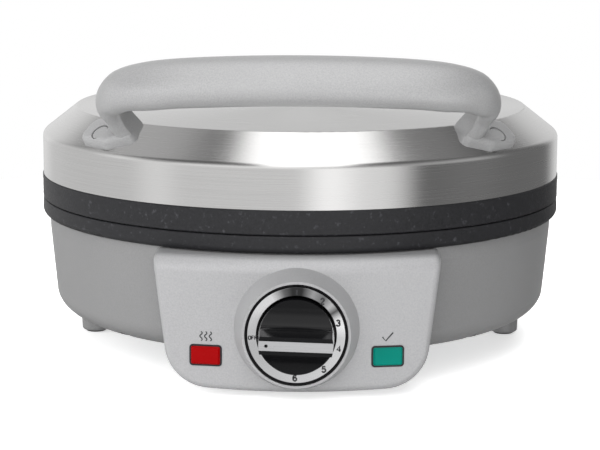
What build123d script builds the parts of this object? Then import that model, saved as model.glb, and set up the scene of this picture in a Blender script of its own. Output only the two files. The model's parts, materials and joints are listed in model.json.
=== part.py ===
from build123d import *
import math
import os

# Round Belgian waffle maker, closed. Millimetres. The body's axis is vertical, the front faces -Y.
# Everything is built about that axis, and moved at export so that the origin is the middle of the footprint.

# Overall form of the closed body
BODY_R = 127.0
LID_DISC_R = 110.5
LID_DISC_Z = 116.1
LID_SHOULDER_Z = 103.2
LID_BAND_Z = 83.3
PARTING_Z = 72.0
PARTING_GAP = 0.3
BASE_RIM_Z = 63.7
BASE_TOP_R = 124.0
BASE_FOOT_R = 119.8
BASE_BOTTOM_Z = 11.0
BASE_EDGE_ROUND = 15.0
BASE_STRAIGHT = 6.0
LID_SHEET = 1.2
BASE_WALL = 3.0
RIM_PROUD = 0.4
RIM_EASE = 0.4
SEAT = 0.15

# Baking plates
PLATE_R = 112.8
PLATE_FLANGE = 3.2
PLATE_SCREW_FIRST = 67.5
CAVITY_R = 92.5
CAVITY_DEPTH = 13.0
CAVITY_DRAFT = 1.2
PLATE_WALL = 3.5
STUD_W = 12.0
STUD_H = 10.0
STUD_TAPER = 8.0
STUD_PITCH = 17.5
STUD_GUTTER = 6.0
DIVIDER_W = 5.0
DIVIDER_H = 8.0
DIVIDER_TAPER = 6.0
GROOVE_R = 100.0
GROOVE_W = 6.0
GROOVE_DEPTH = 1.6

# Rim rings that carry the plates
RIM_LEDGE_R = 106.0
RIM_LEDGE = 4.5
RIM_BORE_GAP = 0.7
RIM_SPIGOT = 9.7
RIM_SPIGOT_WALL = 3.2
SKIRT_R = 119.8
SKIRT_WALL = 2.4
SKIRT_DEPTH = 8.7

# Heating elements
ELEMENT_LOOP_R = 75.0
ELEMENT_TUBE_R = 3.3
ELEMENT_SWEEP = 320.0
ELEMENT_BEND_R = 8.0
ELEMENT_LEG = 14.0
UPPER_ELEMENT_LEG = 5.0
COLD_PIN_R = 1.3
COLD_PIN_L = 5.0
ELEMENT_RIB = 2.2
ELEMENT_RIB_H = 3.5
CLAMP_COUNT = 4
CLAMP_L = 28.0
CLAMP_W = 10.0
CLAMP_T = 1.2
CLAMP_SCREW_R = 60.0
CLAMP_BOSS_R = 4.5

# Heat shields
SHIELD_T = 0.8
SHIELD_FLOOR_R = 98.0
SHIELD_DROP = 10.5
SHIELD_RIM_R = 118.4
SHIELD_CONE_R = 105.0
SHIELD_SCREW_FIRST = 22.5

# Screws: shank radius, hole clearance, head radius, head height
SCREW_R = 1.9
SCREW_GAP = 0.2
SCREW_TIP_GAP = 0.4
HEAD_R = 3.6
HEAD_H = 2.2

# Long base screws in posts, and the vented cover
POST_ON_R = 112.0
POST_R = 5.5
POST_ROOF = 8.0
COVER_R = 94.0
COVER_T = 2.0
COVER_LEDGE_R = 90.0
COVER_LEDGE_W = 8.0
COVER_LEDGE_H = 3.4
COVER_SCREW_ON_R = 87.0
COVER_BOSS_R = 5.0
COVER_BOSS_H = 14.0
VENT_COUNT = 20
VENT_IN_R = 34.0
VENT_OUT_R = 62.0
VENT_W = 3.6

# Feet
FOOT_ON_R = 103.0
FOOT_R = 7.35
FOOT_TIP_R = 6.8
FOOT_ROUND = 1.4
PAD_R = 5.0
PAD_H = 2.8
PAD_PROUD = 0.8

# Control housing in front
FACE_Y = 135.0
FACE_BULGE_R = 250.0
POD_TOP_W = 128.0
POD_LOW_W = 113.4
POD_LOW_Z = 4.9
POD_BOW = 1.9
POD_CORNER = 20.0
POD_SHOULDER = 7.0
POD_EDGE = 3.0
POD_WALL = 2.5
POD_BACK_Y = 94.0
POD_TOP_GAP = 0.3
WINDOW_W = 88.0
WINDOW_LOW_Z = 17.0
WINDOW_HIGH_Z = 52.0
POD_SCREW_X = 51.0
POD_SCREW_Z = (23.0, 47.0)
POD_SCREW_SEAT_Y = 102.0
POD_BOSS_R = 4.2

# Dial: collar, cup, ring and knob, on a horizontal axis
DIAL_Z = 32.0
COLLAR_H = 12.2
COLLAR_BASE_R = 27.2
COLLAR_LIP_R = 23.7
CUP_R = 22.5
CUP_BORE_R = 5.0
CUP_DEPTH = 6.6
CUP_FLOOR = 2.0
RING_R = 21.4
RING_BORE_R = 17.2
RING_T = 2.4
RING_PROUD = 0.2
SHELF_R = 20.0
SHELF_BORE_R = 12.0
KNOB_R = 16.6
KNOB_L = 25.2
KNOB_RIM = 8.0
KNOB_LAND = 2.2
GRIP_TIP_W = 7.6
GRIP_ROOT_W = 9.6
GRIP_FLANK = 8.0
KNOB_TURN = 1.9
KNOB_HOLLOW_R = 13.6
KNOB_HOLLOW = 4.5
KNOB_HUB_R = 6.0
KNOB_BORE_L = 14.0
POINTER_W = 4.2
POINTER_T = 1.0
POINTER_IN = 0.7
POINTER_DOT_R = 0.75
POINTER_DOT_X = 12.6

# Thermostat behind the knob
SHAFT_R = 3.0
SHAFT_GAP = 0.05
SHAFT_FLAT = 1.0
SHAFT_IN = 10.0
BRACKET_Y = 106.0
BRACKET_T = 1.2
BRACKET_W = 44.0
BRACKET_H = 32.0
THERMO_W = 26.0
THERMO_L = 20.0
THERMO_H = 20.0
BUSH_R = 4.8
BUSH_L = 9.0
NUT_FLATS = 13.0
NUT_T = 3.0
ROD_R = 3.0
ROD_Y = 90.0
TAB_L = 7.0
BRACKET_SCREW_X = (-15.0, 15.0)
BRACKET_SCREW_Y = 93.5

# Indicator lights
LIGHT_X = 40.2
LIGHT_Z = 19.3
LIGHT_W = 14.6
LIGHT_H = 9.6
LIGHT_ROUND = 1.6
BEZEL = 0.7
BEZEL_DEPTH = 1.2
BEZEL_PROUD = 0.2
LENS_PROUD = 1.0
LENS_BEVEL = 0.8
LENS_TUBE_R = 3.6
LENS_TUBE_L = 9.0
LAMP_R = 2.4
LAMP_L = 10.0
LAMP_WIRE_R = 0.4

# Hinge at the back
HINGE_Y = 136.5
HINGE_Z = 78.0
PIN_R = 3.0
PIN_GAP = 0.05
PIN_SEAT_GAP = 0.02
KNUCKLE_R = 7.5
KNUCKLE_HALF = 35.5
EAR_R = 9.0
EAR_T = 9.0
EAR_GAP = 0.6
ARM_T = 4.0
ARM_HALF = 33.0
ARM_IN_Y = 104.0
HINGE_BLOCK_LOW_Z = 40.0
HINGE_BLOCK_HIGH_Z = 68.0
HINGE_BLOCK_SLOPE = 12.0
HINGE_SCREW_X = (-34.0, -14.0, 14.0, 34.0)
HINGE_SCREW_Z = 47.0
HINGE_SCREW_SEAT_Y = 112.5
HINGE_SCREW_L = 22.0
ARM_SCREW_X = (-22.0, -8.0, 8.0, 22.0)
ARM_SCREW_Y = 109.0
PIN_HEAD_R = 5.0
PIN_HEAD_H = 1.6
CLIP_R = 5.4
CLIP_T = 0.8

# Cord inlet
CORD_R = 3.6
INLET_Z = 27.0
INLET_BODY_R = 6.3
INLET_FLANGE_R = 8.5
INLET_FLANGE_T = 2.5
INLET_PAD_R = 11.0
INLET_PAD_Y = 122.0
INLET_PAD_T = 5.5
INLET_CATCH_R = 7.6
INLET_CATCH_T = 2.0
TERMINAL_Y = 70.0
TERMINAL_W = 24.0
TERMINAL_H = 12.0

# Handle: an oval bail in a plane that leans forward over the lid
BAR_Y = 118.0
BAR_Z = 139.3
BAIL_LEAN = 47.0
BAIL_HALF = 80.5
BAIL_CORNER = 30.0
BAIL_BOW_R = 1500.0
BAIL_LEG = 48.0
GRIP_WIDE = 27.0
GRIP_THICK = 16.5
GRIP_FLAT = 2.0
HANDLE_GAP = 0.1
PAD_THICK = 5.0
LUG_ANGLE = 222.6
LUG_R = 120.5
PLUG_R = 3.9
PLUG_T = 1.2
PLUG_SINK = 0.4
LUG_SEAT = 1.0
HBRACKET_T = 2.0
HBRACKET_IN_R = 111.0
HBRACKET_RISER_R = 120.6
HBRACKET_RISER_T = 1.5
HBRACKET_FOOT_R = 112.0
HBRACKET_SCREW_R = 116.5
HBRACKET_ANGLE = 8.0


def profile(corners):
    """Closed flat face from (x, y) or (x, y, rounding) corners."""
    face = make_face(Polyline(*[(c[0], c[1]) for c in corners], close=True))
    for corner in corners:
        if len(corner) == 3:
            vertex = face.vertices().sort_by_distance((corner[0], corner[1], 0))[0]
            face = fillet(vertex, corner[2])
    return face


def turned(corners):
    """Solid turned about the body's axis from (radius, height) corners."""
    return revolve(Plane.XZ * profile(corners), Axis.Z)


def rod(radius, start, end):
    """Round bar from one point to another."""
    run = Vector(*end) - Vector(*start)
    lie = Plane(origin=Vector(*start), z_dir=run)
    return lie * Cylinder(radius, run.length, align=(Align.CENTER, Align.CENTER, Align.MIN))


def block(x, y, z):
    """Box between the low and high values of each pair."""
    size = [high - low for low, high in (x, y, z)]
    return Pos(x[0], y[0], z[0]) * Box(*size, align=(Align.MIN, Align.MIN, Align.MIN))


def around(part, count, radius, first=0.0):
    """Copies of a part, set out on a circle."""
    return [place * part for place in PolarLocations(radius, count, first)]


def screw(at, head_up, length):
    """Pan-head screw: seat point of the head, which way the head lies, shank length."""
    x, y, z = at
    way = 1 if head_up else -1
    head = rod(HEAD_R, (x, y, z), (x, y, z + way * HEAD_H))
    return head + rod(SCREW_R, (x, y, z), (x, y, z - way * length))


SCREW_HOLE_R = SCREW_R + SCREW_GAP
LOWER_TOP_Z = PARTING_Z - PARTING_GAP / 2
UPPER_LOW_Z = PARTING_Z + PARTING_GAP / 2
RIM_R = BODY_R + RIM_PROUD
RIM_BORE_R = PLATE_R + RIM_BORE_GAP
PLATE_SEAT_Z = LOWER_TOP_Z - PLATE_FLANGE - SEAT
LEDGE_LOW_Z = PLATE_SEAT_Z - RIM_LEDGE
PLATE_FLOOR_Z = LOWER_TOP_Z - CAVITY_DEPTH
PLATE_UNDER_Z = PLATE_FLOOR_Z - PLATE_WALL
ELEMENT_Z = PLATE_UNDER_Z - ELEMENT_TUBE_R - 0.1
CLAMP_Z = ELEMENT_Z - ELEMENT_TUBE_R - 0.1
SKIRT_LOW_Z = BASE_RIM_Z - SKIRT_DEPTH
SHIELD_FLOOR_Z = SKIRT_LOW_Z - 0.1 - SHIELD_DROP
FACE_AXIS_Y = FACE_BULGE_R - FACE_Y
DIAL_FRONT_Y = FACE_Y + COLLAR_H
CUP_FRONT_Y = DIAL_FRONT_Y - 0.4
CUP_BACK_Y = CUP_FRONT_Y - CUP_DEPTH
KNOB_BACK_Y = CUP_BACK_Y + CUP_FLOOR + 1.0
KNOB_TIP_Y = KNOB_BACK_Y + KNOB_L
HINGE_REAR_Y = HINGE_Y + EAR_R
AXIS_SHIFT_Y = (KNOB_TIP_Y + POINTER_T - POINTER_IN - HINGE_REAR_Y) / 2


def mirrored(part):
    """The same piece on the other side of the parting plane."""
    return mirror(part, about=Plane.XY.offset(PARTING_Z))


def lid_form(grow=0.0, low_z=LID_BAND_Z + SEAT):
    """Outer form of the steel lid, grown square to its faces, down to the band's edge."""
    slope = math.atan2(LID_DISC_Z - LID_SHOULDER_Z, BODY_R - LID_DISC_R)
    disc_r = LID_DISC_R + grow * math.tan(slope / 2)
    shoulder_z = LID_SHOULDER_Z + grow * math.tan((math.pi / 2 - slope) / 2)
    return turned([
        (0, LID_DISC_Z + grow),
        (disc_r, LID_DISC_Z + grow, 1.2),
        (BODY_R + grow, shoulder_z, 3.5 + grow),
        (BODY_R + grow, low_z),
        (0, low_z),
    ])


def base_form(shrink=0.0, top_z=BASE_RIM_Z - SEAT):
    """Outer form of the base housing without feet, or the same form moved inwards."""
    return turned([
        (0, BASE_BOTTOM_Z + shrink),
        (BASE_FOOT_R - shrink, BASE_BOTTOM_Z + shrink, BASE_EDGE_ROUND - shrink),
        (BASE_TOP_R - shrink, BASE_RIM_Z - BASE_STRAIGHT),
        (BASE_TOP_R - shrink, top_z),
        (0, top_z),
    ])


def stud_centres():
    """Centres of the grid's studs, in four quarters."""
    first = DIVIDER_W / 2 + STUD_GUTTER + STUD_W / 2
    steps = range(int(CAVITY_R / STUD_PITCH) + 1)
    reach = CAVITY_R - 2.0
    quarter = [(first + STUD_PITCH * i, first + STUD_PITCH * j) for i in steps for j in steps]
    kept = [(x, y) for x, y in quarter if math.hypot(x, y) < reach]
    return [(sx * x, sy * y) for x, y in kept for sx in (-1, 1) for sy in (-1, 1)]


def grid_plate():
    """Lower baking plate: a cast pan with a flange, deep studs and quarter dividers."""
    top = LOWER_TOP_Z
    under = PLATE_UNDER_Z
    pan = turned([
        (0, under),
        (CAVITY_R + PLATE_WALL, under, 3.0),
        (CAVITY_R + PLATE_WALL, top - PLATE_FLANGE, 1.5),
        (PLATE_R, top - PLATE_FLANGE),
        (PLATE_R, top),
        (CAVITY_R, top),
        (CAVITY_R - CAVITY_DRAFT, PLATE_FLOOR_Z),
        (0, PLATE_FLOOR_Z),
    ])
    sunk = 0.5
    stud = extrude(Rectangle(STUD_W, STUD_W), STUD_H + sunk, taper=STUD_TAPER)
    divider = extrude(Rectangle(2 * CAVITY_R, DIVIDER_W), DIVIDER_H + sunk, taper=DIVIDER_TAPER)
    limit = Pos(0, 0, PLATE_FLOOR_Z - sunk) * Cylinder(
        CAVITY_R - CAVITY_DRAFT - 2.5, STUD_H + 2 * sunk, align=(Align.CENTER, Align.CENTER, Align.MIN))
    raised = [Pos(x, y, PLATE_FLOOR_Z - sunk) * stud for x, y in stud_centres()]
    raised += [Pos(0, 0, PLATE_FLOOR_Z - sunk) * Rot(0, 0, turn) * divider for turn in (0, 90)]
    corner = STUD_W / 2
    inner = []
    for piece, centre in zip(raised, stud_centres() + [(CAVITY_R, 0)] * 2):
        reach = math.hypot(abs(centre[0]) + corner, abs(centre[1]) + corner)
        clipped = reach > CAVITY_R - CAVITY_DRAFT - 2.5
        inner.append(piece & limit if clipped else piece)
    ribs = [
        turned([
            (r, under + 0.5),
            (r + ELEMENT_RIB, under + 0.5),
            (r + ELEMENT_RIB, under - ELEMENT_RIB_H),
            (r, under - ELEMENT_RIB_H),
        ])
        for r in (ELEMENT_LOOP_R - ELEMENT_TUBE_R - 0.3 - ELEMENT_RIB, ELEMENT_LOOP_R + ELEMENT_TUBE_R + 0.3)
    ]
    boss = rod(CLAMP_BOSS_R, (0, 0, under + 0.5), (0, 0, CLAMP_Z))
    bosses = around(boss, CLAMP_COUNT, CLAMP_SCREW_R, 45.0)
    plate = pan + inner + ribs + bosses
    hole = rod(SCREW_HOLE_R, (0, 0, under), (0, 0, CLAMP_Z))
    return plate - around(hole, CLAMP_COUNT, CLAMP_SCREW_R, 45.0)


def plate_screws(first):
    """Four screws through the rim's ledge into the plate's flange, and their holes in the flange."""
    length = RIM_LEDGE + SEAT + PLATE_FLANGE - 1.0
    place = Pos(0, 0, LEDGE_LOW_Z)
    pieces = around(place * screw((0, 0, 0), False, length), 4, (RIM_LEDGE_R + PLATE_R) / 2, first)
    hole = place * rod(SCREW_HOLE_R, (0, 0, -1.0), (0, 0, length + SCREW_TIP_GAP))
    return pieces, around(hole, 4, (RIM_LEDGE_R + PLATE_R) / 2, first)


def lower_plate(holes):
    """Lower plate with its overflow groove."""
    top = LOWER_TOP_Z
    groove = turned([
        (GROOVE_R - GROOVE_W / 2, top + 1),
        (GROOVE_R + GROOVE_W / 2, top + 1),
        (GROOVE_R + GROOVE_W / 2, top - GROOVE_DEPTH, 1.2),
        (GROOVE_R - GROOVE_W / 2, top - GROOVE_DEPTH, 1.2),
    ])
    return grid_plate() - groove - holes


def heating_element(leg_l):
    """Tubular element: an open loop whose two ends bend down to cold pins."""
    half_gap = (360.0 - ELEMENT_SWEEP) / 2
    start = Rot(0, 0, 90.0 + half_gap) * Pos(ELEMENT_LOOP_R, 0, ELEMENT_Z)
    loop = revolve(start * Rot(90, 0, 0) * Circle(ELEMENT_TUBE_R), Axis.Z, ELEMENT_SWEEP)
    tube = loop
    for side in (-1, 1):
        turn = Rot(0, 0, 90.0 + side * half_gap)
        bend_axis = Axis((ELEMENT_LOOP_R, 0, ELEMENT_Z - ELEMENT_BEND_R), (side, 0, 0))
        bend = revolve(Pos(ELEMENT_LOOP_R, 0, ELEMENT_Z) * Rot(90, 0, 0) * Circle(ELEMENT_TUBE_R), bend_axis, 90.0)
        leg_y = -side * ELEMENT_BEND_R
        low = ELEMENT_Z - ELEMENT_BEND_R - leg_l
        leg = rod(ELEMENT_TUBE_R, (ELEMENT_LOOP_R, leg_y, ELEMENT_Z - ELEMENT_BEND_R), (ELEMENT_LOOP_R, leg_y, low))
        pin = rod(COLD_PIN_R, (ELEMENT_LOOP_R, leg_y, low + 1), (ELEMENT_LOOP_R, leg_y, low - COLD_PIN_L))
        tube += turn * (bend + leg + pin)
    return tube


def element_leg_holes(margin, low, high):
    """Round holes for the element's two legs."""
    half_gap = (360.0 - ELEMENT_SWEEP) / 2
    holes = []
    for side in (-1, 1):
        hole = rod(ELEMENT_TUBE_R + margin, (ELEMENT_LOOP_R, -side * ELEMENT_BEND_R, low),
                   (ELEMENT_LOOP_R, -side * ELEMENT_BEND_R, high))
        holes.append(Rot(0, 0, 90.0 + side * half_gap) * hole)
    return holes


def element_clamps():
    """Straps that hold the element against the plate, and their screws."""
    top = CLAMP_Z
    reach_in = CLAMP_SCREW_R - 5.0
    strap = block((reach_in, reach_in + CLAMP_L), (-CLAMP_W / 2, CLAMP_W / 2), (top - CLAMP_T - 0.05, top - 0.05))
    strap -= rod(SCREW_HOLE_R, (CLAMP_SCREW_R, 0, top), (CLAMP_SCREW_R, 0, top - 2 * CLAMP_T))
    fixing = screw((CLAMP_SCREW_R, 0, top - CLAMP_T - 0.1), False, CLAMP_T + 4.0)
    straps = around(strap, CLAMP_COUNT, 0, 45.0)
    screws = around(fixing, CLAMP_COUNT, 0, 45.0)
    return straps, screws


def heat_shield():
    """Pressed shield pan below the lower element, with holes for the element's legs."""
    top = SKIRT_LOW_Z - 0.1
    outer = turned([
        (0, SHIELD_FLOOR_Z - SHIELD_T),
        (SHIELD_FLOOR_R, SHIELD_FLOOR_Z - SHIELD_T),
        (SHIELD_CONE_R, top - SHIELD_T),
        (SHIELD_RIM_R, top - SHIELD_T),
        (SHIELD_RIM_R, top),
        (SHIELD_CONE_R - SHIELD_T, top),
        (SHIELD_FLOOR_R - SHIELD_T, SHIELD_FLOOR_Z),
        (0, SHIELD_FLOOR_Z),
    ])
    return outer - element_leg_holes(1.5, SHIELD_FLOOR_Z - 5, SHIELD_FLOOR_Z + 5)


def lower_shield_holes():
    """Holes of the base's shield for the long screws and the sensing rod."""
    high = SKIRT_LOW_Z + 1
    hole = rod(SCREW_HOLE_R, (POST_ON_R, 0, high - 5), (POST_ON_R, 0, high))
    return [*around(hole, 4, 0, 45.0), rod(ROD_R + 1.2, (0, -ROD_Y, 0), (0, -ROD_Y, high))]


def upper_shield_holes():
    """Holes of the lid's shield for its screws, and notches that clear the handle's brackets."""
    low = 2 * PARTING_Z - SKIRT_LOW_Z - 1
    hole = rod(SCREW_HOLE_R, (POST_ON_R, 0, low), (POST_ON_R, 0, low + 5))
    return around(hole, 4, 0, SHIELD_SCREW_FIRST)


def arm_screw_holes():
    """Holes in the lid rim's ledge for the hinge arm's screws."""
    z = arm_web_z()
    return [rod(SCREW_HOLE_R, (x, ARM_SCREW_Y, z - RIM_LEDGE + 0.2), (x, ARM_SCREW_Y, z + 1)) for x in ARM_SCREW_X]


def lower_rim(screw_holes):
    """Black rim of the base: carries the lower plate on its ledge, its skirt locates in the housing."""
    ring = turned([
        (RIM_R - 0.2, LOWER_TOP_Z, 0.8),
        (RIM_R, BASE_RIM_Z + 3.0),
        (RIM_R, BASE_RIM_Z, 2.8),
        (SKIRT_R, BASE_RIM_Z),
        (SKIRT_R, SKIRT_LOW_Z),
        (SKIRT_R - SKIRT_WALL, SKIRT_LOW_Z),
        (SKIRT_R - SKIRT_WALL, LEDGE_LOW_Z),
        (RIM_LEDGE_R, LEDGE_LOW_Z),
        (RIM_LEDGE_R, PLATE_SEAT_Z),
        (RIM_BORE_R, PLATE_SEAT_Z),
        (RIM_BORE_R, LOWER_TOP_Z),
    ])
    boss = rod(POST_R, (0, 0, SKIRT_LOW_Z), (0, 0, LEDGE_LOW_Z + 0.5))
    hole = rod(SCREW_HOLE_R, (0, 0, SKIRT_LOW_Z - 1), (0, 0, LEDGE_LOW_Z))
    skirt = turned([
        (RIM_LEDGE_R, SKIRT_LOW_Z),
        (SKIRT_R, SKIRT_LOW_Z),
        (SKIRT_R, LEDGE_LOW_Z + 1),
        (RIM_LEDGE_R, LEDGE_LOW_Z + 1),
    ])
    bosses = [piece & skirt for piece in around(boss, 4, POST_ON_R, 45.0)]
    return (ring + bosses) - around(hole, 4, POST_ON_R, 45.0) - screw_holes


def upper_rim(screw_holes):
    """Black rim of the lid: carries the upper plate, its spigot locates in the steel cover."""
    ledge_top = 2 * PARTING_Z - LEDGE_LOW_Z
    plate_seat = 2 * PARTING_Z - PLATE_SEAT_Z
    cover_bore = BODY_R - LID_SHEET
    spigot_r = cover_bore - SEAT
    ring = turned([
        (RIM_R, UPPER_LOW_Z, 0.8),
        (RIM_R, LID_BAND_Z - RIM_EASE),
        (RIM_R - RIM_EASE, LID_BAND_Z),
        (spigot_r, LID_BAND_Z),
        (spigot_r, LID_BAND_Z + RIM_SPIGOT),
        (spigot_r - RIM_SPIGOT_WALL, LID_BAND_Z + RIM_SPIGOT),
        (spigot_r - RIM_SPIGOT_WALL, ledge_top),
        (RIM_LEDGE_R, ledge_top),
        (RIM_LEDGE_R, plate_seat),
        (RIM_BORE_R, plate_seat),
        (RIM_BORE_R, UPPER_LOW_Z),
    ])
    slot = block((-ARM_HALF - 0.3, ARM_HALF + 0.3), (SKIRT_R - 5, RIM_R + 5), (ledge_top, ledge_top + ARM_T + 0.3))
    boss = rod(POST_R, (POST_ON_R, 0, ledge_top - 0.5), (POST_ON_R, 0, 2 * PARTING_Z - SKIRT_LOW_Z))
    hole = rod(SCREW_HOLE_R, (POST_ON_R, 0, ledge_top - 1), (POST_ON_R, 0, 2 * PARTING_Z))
    ring = ring - slot + around(boss, 4, 0, SHIELD_SCREW_FIRST)
    return ring - around(hole, 4, 0, SHIELD_SCREW_FIRST) - screw_holes


def lid_cover():
    """Spun steel cover: flat disc, cone and side band, with holes for the handle's screws."""
    inside = lid_form(-LID_SHEET, LID_BAND_Z - 5)
    slot_top = 2 * PARTING_Z - LEDGE_LOW_Z + 0.1 + ARM_T + 0.3
    slot = block((-ARM_HALF - 0.3, ARM_HALF + 0.3), (BODY_R - 15, BODY_R + 5), (LID_BAND_Z - 1, slot_top))
    cover = lid_form() - inside - slot
    return cover - [lug * Cylinder(SCREW_HOLE_R + 0.3, 4 * LID_SHEET) for lug in lug_frames()]


def cone_z(radius):
    """Height of the lid's cone at a radius."""
    return LID_DISC_Z - (radius - LID_DISC_R) * (LID_DISC_Z - LID_SHOULDER_Z) / (BODY_R - LID_DISC_R)


def lug_frames():
    """Where each handle screw crosses the lid's cone: origin on the cone, +Z square to it."""
    slope = math.atan2(LID_DISC_Z - LID_SHOULDER_Z, BODY_R - LID_DISC_R)
    frames = []
    for angle in (LUG_ANGLE, 540.0 - LUG_ANGLE):
        frames.append(Rot(0, 0, angle) * Pos(LUG_R, 0, cone_z(LUG_R)) * Rot(0, math.degrees(slope), 0))
    return frames


def bail_path():
    """Centre line of the handle: leg, corner, slightly bowed bar, corner, leg."""
    bow = math.degrees(math.asin((BAIL_HALF - BAIL_CORNER) / (BAIL_BOW_R - BAIL_CORNER)))
    right = JernArc((0, 0), (1, 0), BAIL_BOW_R, -bow)
    corner = JernArc(right @ 1, right % 1, BAIL_CORNER, -(90.0 - bow))
    leg = Line(corner @ 1, (corner @ 1) + (corner % 1) * (BAIL_LEG - BAIL_CORNER))
    half = [right, corner, leg]
    other = [edge for line in half for edge in mirror(line, about=Plane.YZ).edges()]
    return Wire([*other, *[edge for line in half for edge in line.edges()]])


def grip_section():
    """Oval section of the handle, flatter on the side that faces the lid."""
    oval = Ellipse(GRIP_THICK / 2, GRIP_WIDE / 2)
    flat = Pos(-GRIP_FLAT, 0) * Rectangle(GRIP_THICK, 2 * GRIP_WIDE)
    return oval & flat


def handle():
    """Cast handle: leaning bail whose legs end in thin pads on the lid's cone, each with a screw lug."""
    path = bail_path()
    lean = Plane(origin=(0, -BAR_Y, BAR_Z), x_dir=(1, 0, 0),
                 z_dir=(0, -math.sin(math.radians(BAIL_LEAN)), -math.cos(math.radians(BAIL_LEAN))))
    section = Plane(origin=path @ 0, x_dir=(-1, 0, 0), z_dir=path % 0) * grip_section()
    bail = lean * sweep(section, path=path)
    layer = lid_form(PAD_THICK) - lid_form(HANDLE_GAP)
    pads = [pad_outline(side) & layer for side in (-1, 1)]
    part = (bail + pads) - lid_form(HANDLE_GAP, LID_BAND_Z - 20)
    for lug in lug_frames():
        part -= lug * Cylinder(SCREW_HOLE_R, 30)
        part -= lug * Pos(0, 0, LUG_SEAT) * Cylinder(
            PLUG_R + 0.1, 20, align=(Align.CENTER, Align.CENTER, Align.MIN))
    return part


def pad_outline(side):
    """Prism over one foot of the handle, seen from above."""
    corners = [(-73.5, -97.6), (-86.5, -92.3), (-100.0, -78.0), (-92.0, -70.0), (-76.0, -76.0), (-71.0, -83.0)]
    rounds = [2.0, 8.0, 3.0, 8.0, 5.0, 2.0]
    face = profile([(-side * x, y, r) for (x, y), r in zip(corners, rounds)])
    return Pos(0, 0, LID_BAND_Z) * extrude(face, 60.0)


def handle_fixings():
    """Screws from outside through the lugs, the plugs over them, the brackets under the cone and their screws."""
    screws = []
    plugs = []
    brackets = []
    feet = []
    slope = math.atan2(LID_DISC_Z - LID_SHOULDER_Z, BODY_R - LID_DISC_R)
    under = (LID_SHEET + 0.1) / math.cos(slope)
    deep = under + HBRACKET_T / math.cos(slope)
    foot_z = 2 * PARTING_Z - LEDGE_LOW_Z + 0.1
    riser_out = HBRACKET_RISER_R + HBRACKET_RISER_T
    outline = [
        (HBRACKET_FOOT_R, foot_z),
        (riser_out, foot_z),
        (riser_out, cone_z(riser_out) - under),
        (HBRACKET_IN_R, cone_z(HBRACKET_IN_R) - under),
        (HBRACKET_IN_R, cone_z(HBRACKET_IN_R) - deep),
        (HBRACKET_RISER_R, cone_z(HBRACKET_RISER_R) - deep),
        (HBRACKET_RISER_R, foot_z + HBRACKET_RISER_T),
        (HBRACKET_FOOT_R, foot_z + HBRACKET_RISER_T),
    ]
    sector = revolve(Plane.XZ * profile(outline), Axis.Z, HBRACKET_ANGLE)
    shank = LUG_SEAT + LID_SHEET + HBRACKET_T + 0.6
    for lug, angle in zip(lug_frames(), (LUG_ANGLE, 540.0 - LUG_ANGLE)):
        screws.append(lug * Pos(0, 0, LUG_SEAT + 0.05) * screw((0, 0, 0), True, shank))
        plug = Cylinder(PLUG_R, PLUG_T, align=(Align.CENTER, Align.CENTER, Align.MAX))
        plug_z = PAD_THICK - PLUG_SINK
        plugs.append(lug * Pos(0, 0, plug_z) * fillet(plug.edges().group_by(Axis.Z)[-1], 0.3))
        bracket = Rot(0, 0, angle - HBRACKET_ANGLE / 2) * sector
        bracket -= lug * Cylinder(SCREW_HOLE_R, 12)
        spot = Rot(0, 0, angle) * Pos(HBRACKET_SCREW_R, 0, foot_z + HBRACKET_RISER_T + 0.05)
        bracket -= spot * Cylinder(SCREW_HOLE_R, 6)
        brackets.append(bracket)
        feet.append(spot * screw((0, 0, 0), True, HBRACKET_RISER_T + RIM_LEDGE))
    holes = [Rot(0, 0, angle) * Pos(HBRACKET_SCREW_R, 0, foot_z) * Cylinder(
        SCREW_HOLE_R, 2 * RIM_LEDGE + 2 * SCREW_TIP_GAP) for angle in (LUG_ANGLE, 540.0 - LUG_ANGLE)]
    return screws, plugs, brackets, feet, holes


def shield_screws():
    """Screws of the lid's heat shield in the rim's bosses."""
    top = 2 * PARTING_Z - SKIRT_LOW_Z + 0.1 + SHIELD_T + 0.05
    fixing = screw((POST_ON_R, 0, top), True, SHIELD_T + 6.0)
    return around(fixing, 4, 0, SHIELD_SCREW_FIRST)


def foot(top_z):
    """Short tapered foot with a rounded tip and a socket for its pad, standing at the origin."""
    post = turned([
        (0, PAD_PROUD),
        (FOOT_TIP_R, PAD_PROUD, FOOT_ROUND),
        (FOOT_R, top_z),
        (0, top_z),
    ])
    return post - Cylinder(PAD_R + 0.1, 2 * (PAD_H + 0.05))


def foot_places():
    """Feet of the base housing: left, right and back. The front one is on the control housing."""
    return [Pos(FOOT_ON_R, 0, 0), Pos(-FOOT_ON_R, 0, 0), Pos(0, FOOT_ON_R, 0)]


def foot_pads():
    """Soft pads in the four feet."""
    pad = turned([(0, 0), (PAD_R, 0, 0.5), (PAD_R, PAD_H), (0, PAD_H)])
    return [place * pad for place in [*foot_places(), Pos(0, -FOOT_ON_R, 0)]]


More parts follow.
